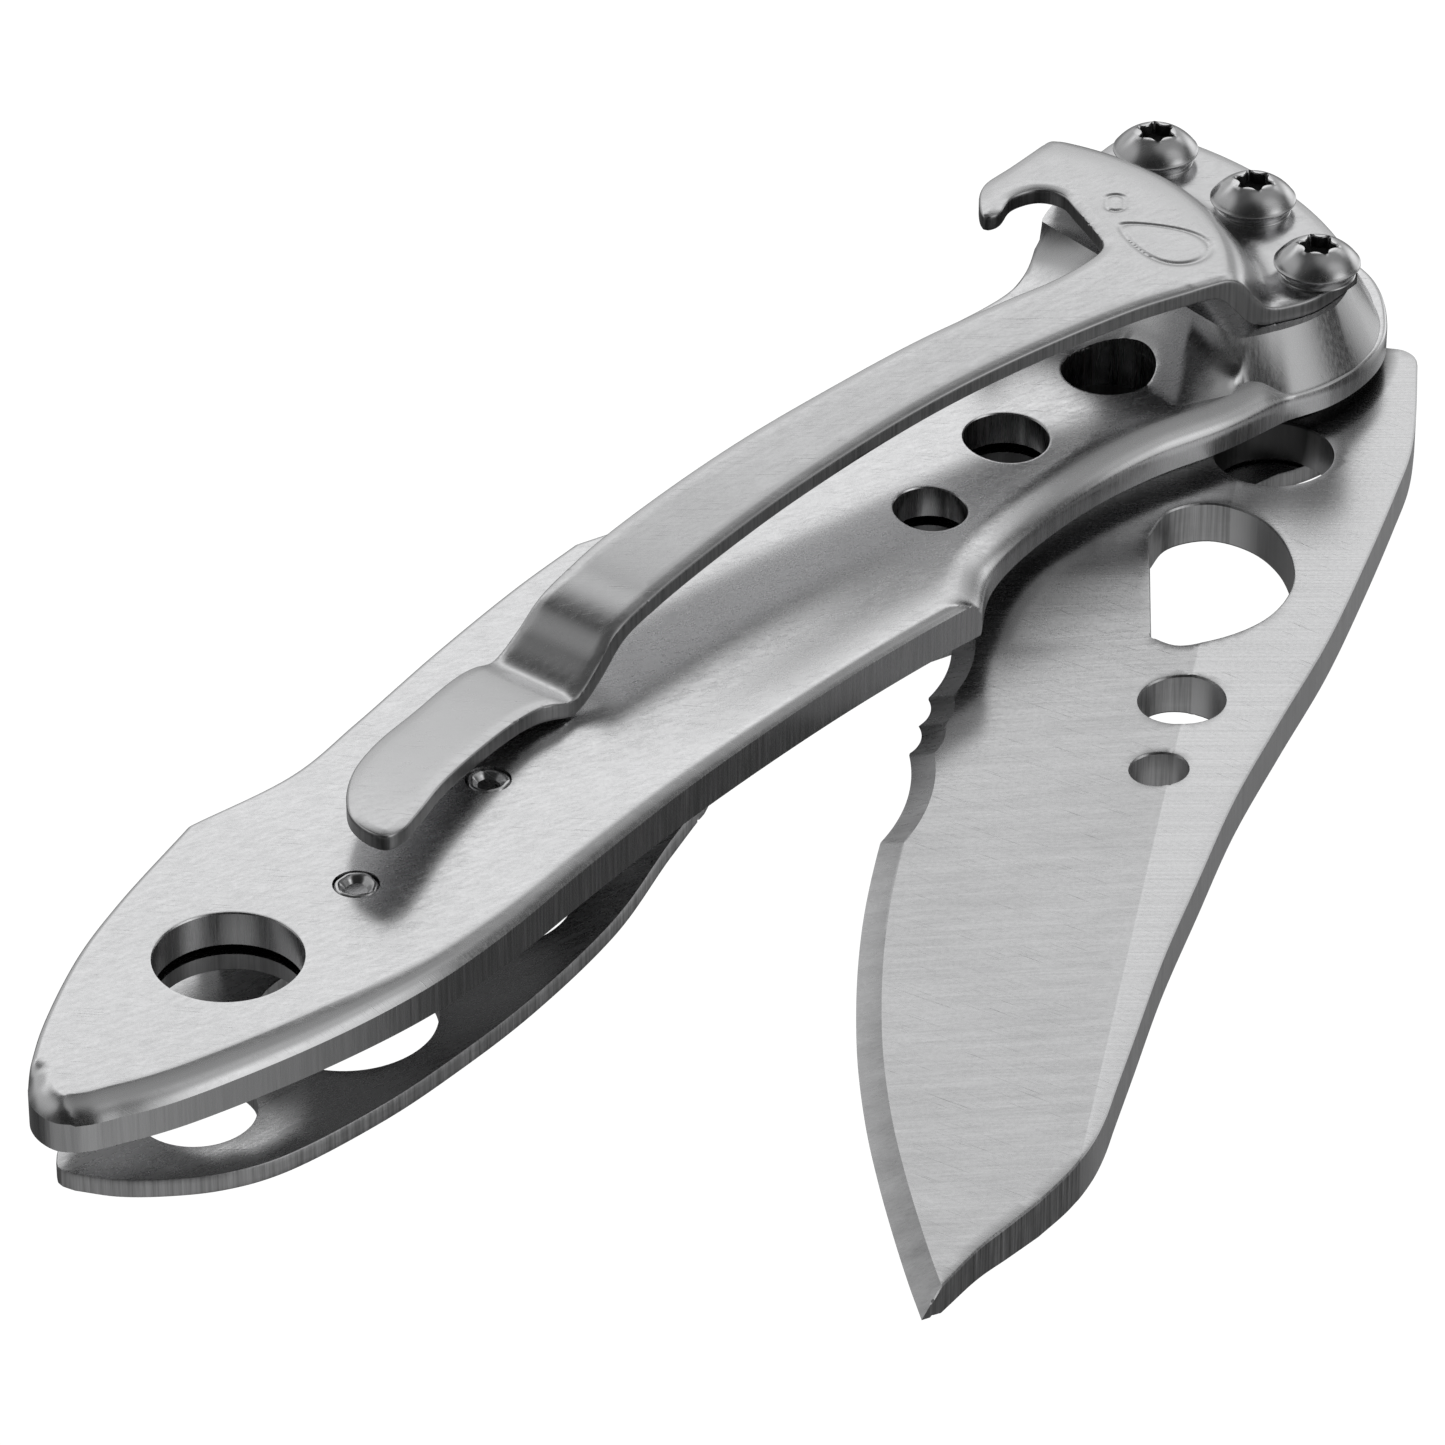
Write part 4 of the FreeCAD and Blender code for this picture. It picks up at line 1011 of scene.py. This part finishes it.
def clip_outline():
    base = arc(CLIP_CENTRE, BASE_R, -41.5, 6.5)
    corner = catmull([polar(BASE_R, 6.5, CLIP_CENTRE), (73.95, 8.75), (73.1, 9.4), (72.1, 9.55), (70.9, 9.5),
                      (69.4, 9.75), (67.6, 9.8), (66.0, 9.7), (64.4, 9.65), (62.4, 9.6), (61.4, 9.15),
                      (60.2, 8.1), (60.05, 7.75), (60.35, 7.5), (60.8, 7.45), (62.2, 7.85), (63.5, 7.35),
                      (63.85, 6.3), (63.3, 5.1), (62.4, 3.45), (61.6, 2.2), (61.0, 1.85), (58.3, 1.95),
                      (55.3, 2.75), (50.7, 3.9), (45.9, 4.7), (39.0, 5.5), (30.5, 5.7), (25.5, 5.3),
                      (22.5, 5.2), (20.5, 5.2), (16.5, 4.4), (13.5, 3.8), (11.0, 2.9), (9.3, 1.75),
                      (8.3, 0.6), (7.95, -0.7), (8.15, -1.5), (8.9, -1.65), (10.6, -1.2), (13.3, -0.3),
                      (18.3, 0.7), (20.4, 0.85), (22.3, 0.5), (26.0, 0.95), (30.0, 1.2), (39.0, 1.15),
                      (48.3, 0.2), (57.6, -2.2), (61.0, -3.6), (63.0, -4.35), (64.6, -5.3), (66.6, -6.15),
                      polar(BASE_R, -41.5, CLIP_CENTRE)])
    return resample(loop(base, corner), 0.15)


def clip_surface(arm, head, x, y):
    r = np.hypot(x - CLIP_CENTRE[0], y - CLIP_CENTRE[1])
    return np.where(x < BEND_X, profile_height(arm, x), profile_height(head, r))


def clip_top(x, y, d):
    edge = round_edge(d, 0.12) + 0.06 * (1 - smoothstep(0.0, 0.55, d))
    return clip_surface(ARM_TOP, HEAD_TOP, x, y) - edge - pictogram(x, y)


def pictogram(x, y):
    """Generic stamped mark on the opener: a rounded drop outline and a small pill beside it."""
    u, v = (x - 63.35) / 1.35, (y - 0.1) / 2.3
    drop = np.hypot(u / (1.0 - 0.42 * np.clip(v, -1, 1)), v)
    pill = np.hypot(np.maximum(np.abs((x - 64.75) * 0.8 + (y - 3.85) * 0.6) - 0.3, 0), (x - 64.75) * -0.6
                    + (y - 3.85) * 0.8)
    mark = np.exp(-((drop - 1.0) / 0.075) ** 2) + np.exp(-((pill - 0.42) / 0.1) ** 2)
    return 0.05 * mark


def clip_bottom(x, y, d):
    return clip_surface(ARM_UNDER, HEAD_UNDER, x, y) + round_edge(d, 0.06)


def clip_rows():
    """Rows of points along the bend and over the stamped mark."""
    rows = [arc(CLIP_CENTRE, r, -60, 40, 0.22) for r in np.arange(11.0, 15.2, 0.2)]
    gx, gy = np.meshgrid(np.arange(61.3, 65.9, 0.09), np.arange(-2.6, 5.0, 0.09))
    rows.append(np.c_[gx.ravel(), gy.ravel()])
    gx, gy = np.meshgrid(np.arange(18.0, 29.0, 0.22), np.arange(0.0, 5.6, 0.3))
    rows.append(np.c_[gx.ravel(), gy.ravel()])
    return np.vstack(rows)


def clip():
    obj = slab("clip_spring", clip_outline(), [], clip_top, clip_bottom,
               (0.03, 0.07, 0.12, 0.25, 0.4, 0.55), 0.4, clip_rows(), levels=5)
    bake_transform(obj)
    finish_piece(obj, "clip_steel", "clip_head", "clip_arm")
    return obj


def six_lobe(radius, angle):
    """Radius of the socket's outline: six round lobes."""
    return radius * (1 + 0.17 * math.cos(6 * angle) + 0.03 * math.cos(12 * angle))


def clip_screw(k, x, y, turn):
    """Button-head screw: domed head, flat rim, six-lobe socket, collar below."""
    top = Z_BASE_TOP + RIM_H
    sphere = (HEAD_R ** 2 + HEAD_H ** 2) / (2 * HEAD_H)
    crown = top + HEAD_H - sphere
    socket = [(0.0, 0.35), (0.45, 0.35), (0.7, 0.38), (0.735, 0.82), (0.76, 0.87), (0.8, 0.925)]
    rim = [(1.99, 0.03), (1.995, -0.02), (1.95, -0.08), (1.8, -0.13), (1.62, -0.15), (1.58, -0.28),
           (1.66, -0.33), (1.74, -0.4)]
    profile = [(r, top + z) for r, z in socket]
    for t in np.linspace(21.5, 56.5, 12):
        profile.append((sphere * math.sin(math.radians(t)), crown + sphere * math.cos(math.radians(t))))
    profile += [(r, top + z) for r, z in rim]
    profile += [(1.745, Z_BASE_TOP + 0.02), (1.78, Z_BASE_TOP - 0.02)]
    def shape(radius, angle):
        if radius >= 0.93:
            return radius
        f = 1 - smoothstep(0.81, 0.93, radius)
        return radius * (1 - f) + six_lobe(radius, angle + turn) * f
    obj = lathe("clip_screw_head_%d" % (k + 1), x, y, profile, 96, shape)
    obj.data.materials.append(MATERIALS["screw_steel"])
    obj.data.materials.append(PAINTED_SOCKET_SHADE)
    # faces at the bottom of the socket get the near-black painted shade
    for face in obj.data.polygons:
        flat = Vector((face.center.x - x * MM, face.center.y - y * MM)).length
        if flat < 0.84 * MM and top * MM < face.center.z < (top + 0.86) * MM:
            face.material_index = 1
    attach(obj, "handle")
    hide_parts("clip_screw_%d" % (k + 1))


front_scale()
boss()
liner()
for k, (x, y) in enumerate(LINER_RIVETS):
    rivet(k, x, y)
back_plate()
lock_bar()
spacer()
blade()
clip()
for k, (x, y) in enumerate(CLIP_SCREWS):
    clip_screw(k, x, y, 0.3 + 0.9 * k)

# CAD nodes shown with their own meshes
KEPT_NODES = {"front_washer": "washer_bronze", "rear_washer": "washer_bronze",
              "pivot_barrel": "hardware_steel", "pivot_screw": "screw_steel",
              "stop_pin": "hardware_steel", "detent_ball": "screw_steel",
              "spacer_rivet_1": "rivet_steel", "spacer_rivet_2": "rivet_steel"}
for node_name, slot_name in KEPT_NODES.items():
    paint(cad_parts[node_name], slot_name)


# ---- camera

CAMERA_AIM = (28.527, -2.689, Z_SCALE)
CAMERA_AZIMUTH, CAMERA_ELEVATION = math.radians(-50.5), math.radians(33.9)
CAMERA_REACH = 0.3591
CAMERA_LENS = 207.73


def camera():
    data = bpy.data.cameras.new("camera")
    data.sensor_width = 36.0
    data.lens = CAMERA_LENS
    data.clip_start = 0.01
    data.clip_end = 50
    cam = linked("camera", data)
    a, e = CAMERA_AZIMUTH, CAMERA_ELEVATION
    back = Vector((math.sin(a) * math.cos(e), -math.cos(a) * math.cos(e), math.sin(e)))
    cam.location = Vector([v * MM for v in CAMERA_AIM]) + back * CAMERA_REACH
    cam.rotation_mode = "QUATERNION"
    cam.rotation_quaternion = (-back).to_track_quat("-Z", "Y")
    bpy.context.scene.camera = cam


camera()


# ---- floor and light

FLOOR_HALF, FLOOR_Z = 3.0, -0.0063


def emission_floor():
    mesh = bpy.data.meshes.new("floor")
    s, z = FLOOR_HALF, FLOOR_Z
    mesh.from_pydata([(-s, -s, z), (s, -s, z), (s, s, z), (-s, s, z)], [], [(0, 1, 2, 3)])
    obj = linked("floor", mesh)
    mat = bpy.data.materials.new("floor_white")
    mat.use_nodes = True
    mat.node_tree.nodes.clear()
    g = Nodes(mat.node_tree)
    emit = g.add("Emission")
    emit.inputs["Color"].default_value = (1, 1, 1, 1)
    emit.inputs["Strength"].default_value = 1.05
    g.link(emit.outputs[0], g.add("OutputMaterial").inputs["Surface"])
    mesh.materials.append(mat)
    obj.visible_glossy = False
    obj.visible_diffuse = False
    obj.visible_shadow = False


# (height from 0 straight down to 1 straight up, radiance), on the far side and the viewer's side
BACK_SKY = [(0.0, 0.06), (0.3, 0.12), (0.46, 0.3), (0.53, 0.5), (0.70, 0.42), (0.755, 0.75), (0.785, 1.15),
            (0.81, 0.95), (0.85, 0.4), (0.91, 0.12), (1.0, 0.08)]
FRONT_SKY = [(0.0, 0.05), (0.22, 0.06), (0.42, 0.06), (0.5, 0.08), (0.65, 0.09), (0.8, 0.08), (0.9, 0.09),
             (1.0, 0.09)]
# soft panels: (direction, cosine at the outer edge, cosine where full, radiance)
LOBES = [((0.12, -0.95, 0.28), 0.87, 0.975, 0.85), ((0.2, -0.7, 0.68), 0.88, 0.975, 0.2),
         ((0.35, -0.35, 0.87), 0.75, 0.97, 0.2), ((0.97, -0.17, -0.1), 0.86, 0.97, 0.55),
         ((-0.05, -0.84, -0.54), 0.84, 0.98, 0.3), ((-0.75, -0.2, -0.6), 0.5, 0.9, 0.28),
         ((-0.4, 0.78, 0.5), 0.82, 0.97, 0.35)]
CAMERA_SIDE = (-0.640, -0.528, 0.558)   # darkened: the studio behind the camera


def sky():
    """Studio surroundings: bright band behind, dark overhead and round the viewer, soft panels."""
    world = bpy.data.worlds.new("studio")
    bpy.context.scene.world = world
    world.use_nodes = True
    g = Nodes(world.node_tree)
    direction = g.add("TexCoord").outputs["Generated"]
    def toward(axis, *span):
        dot = g.vector_math("DOT_PRODUCT", direction, Vector(axis).normalized())
        return g.ramp(dot, *span, kind="SMOOTHSTEP")
    def gradient(stops):
        node = g.add("ValToRGB")
        elements = node.color_ramp.elements
        for k, (at, value) in enumerate(stops):
            e = elements[k] if k < 2 else elements.new(at)
            e.position = at
            e.color = (value, value, value, 1)
        g.link(height, node.inputs["Fac"])
        return node.outputs["Color"]
    height = g.ramp(g.part(direction, 2), -1.0, 1.0, 0.0, 1.0)
    value = g.mix(toward((0.77, 0.64, 0.0), 0.38, 0.72, 0.0, 1.0), gradient(FRONT_SKY), gradient(BACK_SKY))
    for axis, outer, inner, radiance in LOBES:
        value = g.math("ADD", value, toward(axis, outer, inner, 0.0, radiance))
    value = g.math("MULTIPLY", value, toward(CAMERA_SIDE, 0.6, 0.95, 1.0, 0.25))
    background = g.tree.nodes["Background"]
    g.link(value, background.inputs["Strength"])
    background.inputs["Color"].default_value = (0.995, 0.998, 1.0, 1)


def card(name, toward, centre, reach, width, height, radiance):
    """Soft panel seen from centre in the direction toward, evenly bright."""
    at = Vector(centre) + Vector(toward).normalized() * reach
    data = bpy.data.lights.new(name, "AREA")
    data.energy = math.pi * width * height * radiance
    data.size = width
    data.shape = "RECTANGLE"
    data.size_y = height
    obj = linked(name, data)
    obj.location = at
    obj.rotation_mode = "QUATERNION"
    obj.rotation_quaternion = (Vector(centre) - at).to_track_quat("-Z", "Y")


def lights():
    card("back_panel", (0.6, 0.5, 0.35), (0.03, 0, 0), 0.8, 0.5, 0.25, 0.25)
    card("front_panel", (0.1, -0.93, 0.35), (0.03, 0, 0), 0.8, 0.12, 0.4, 0.25)


emission_floor()
sky()
lights()
bpy.context.scene.view_settings.view_transform = "Standard"
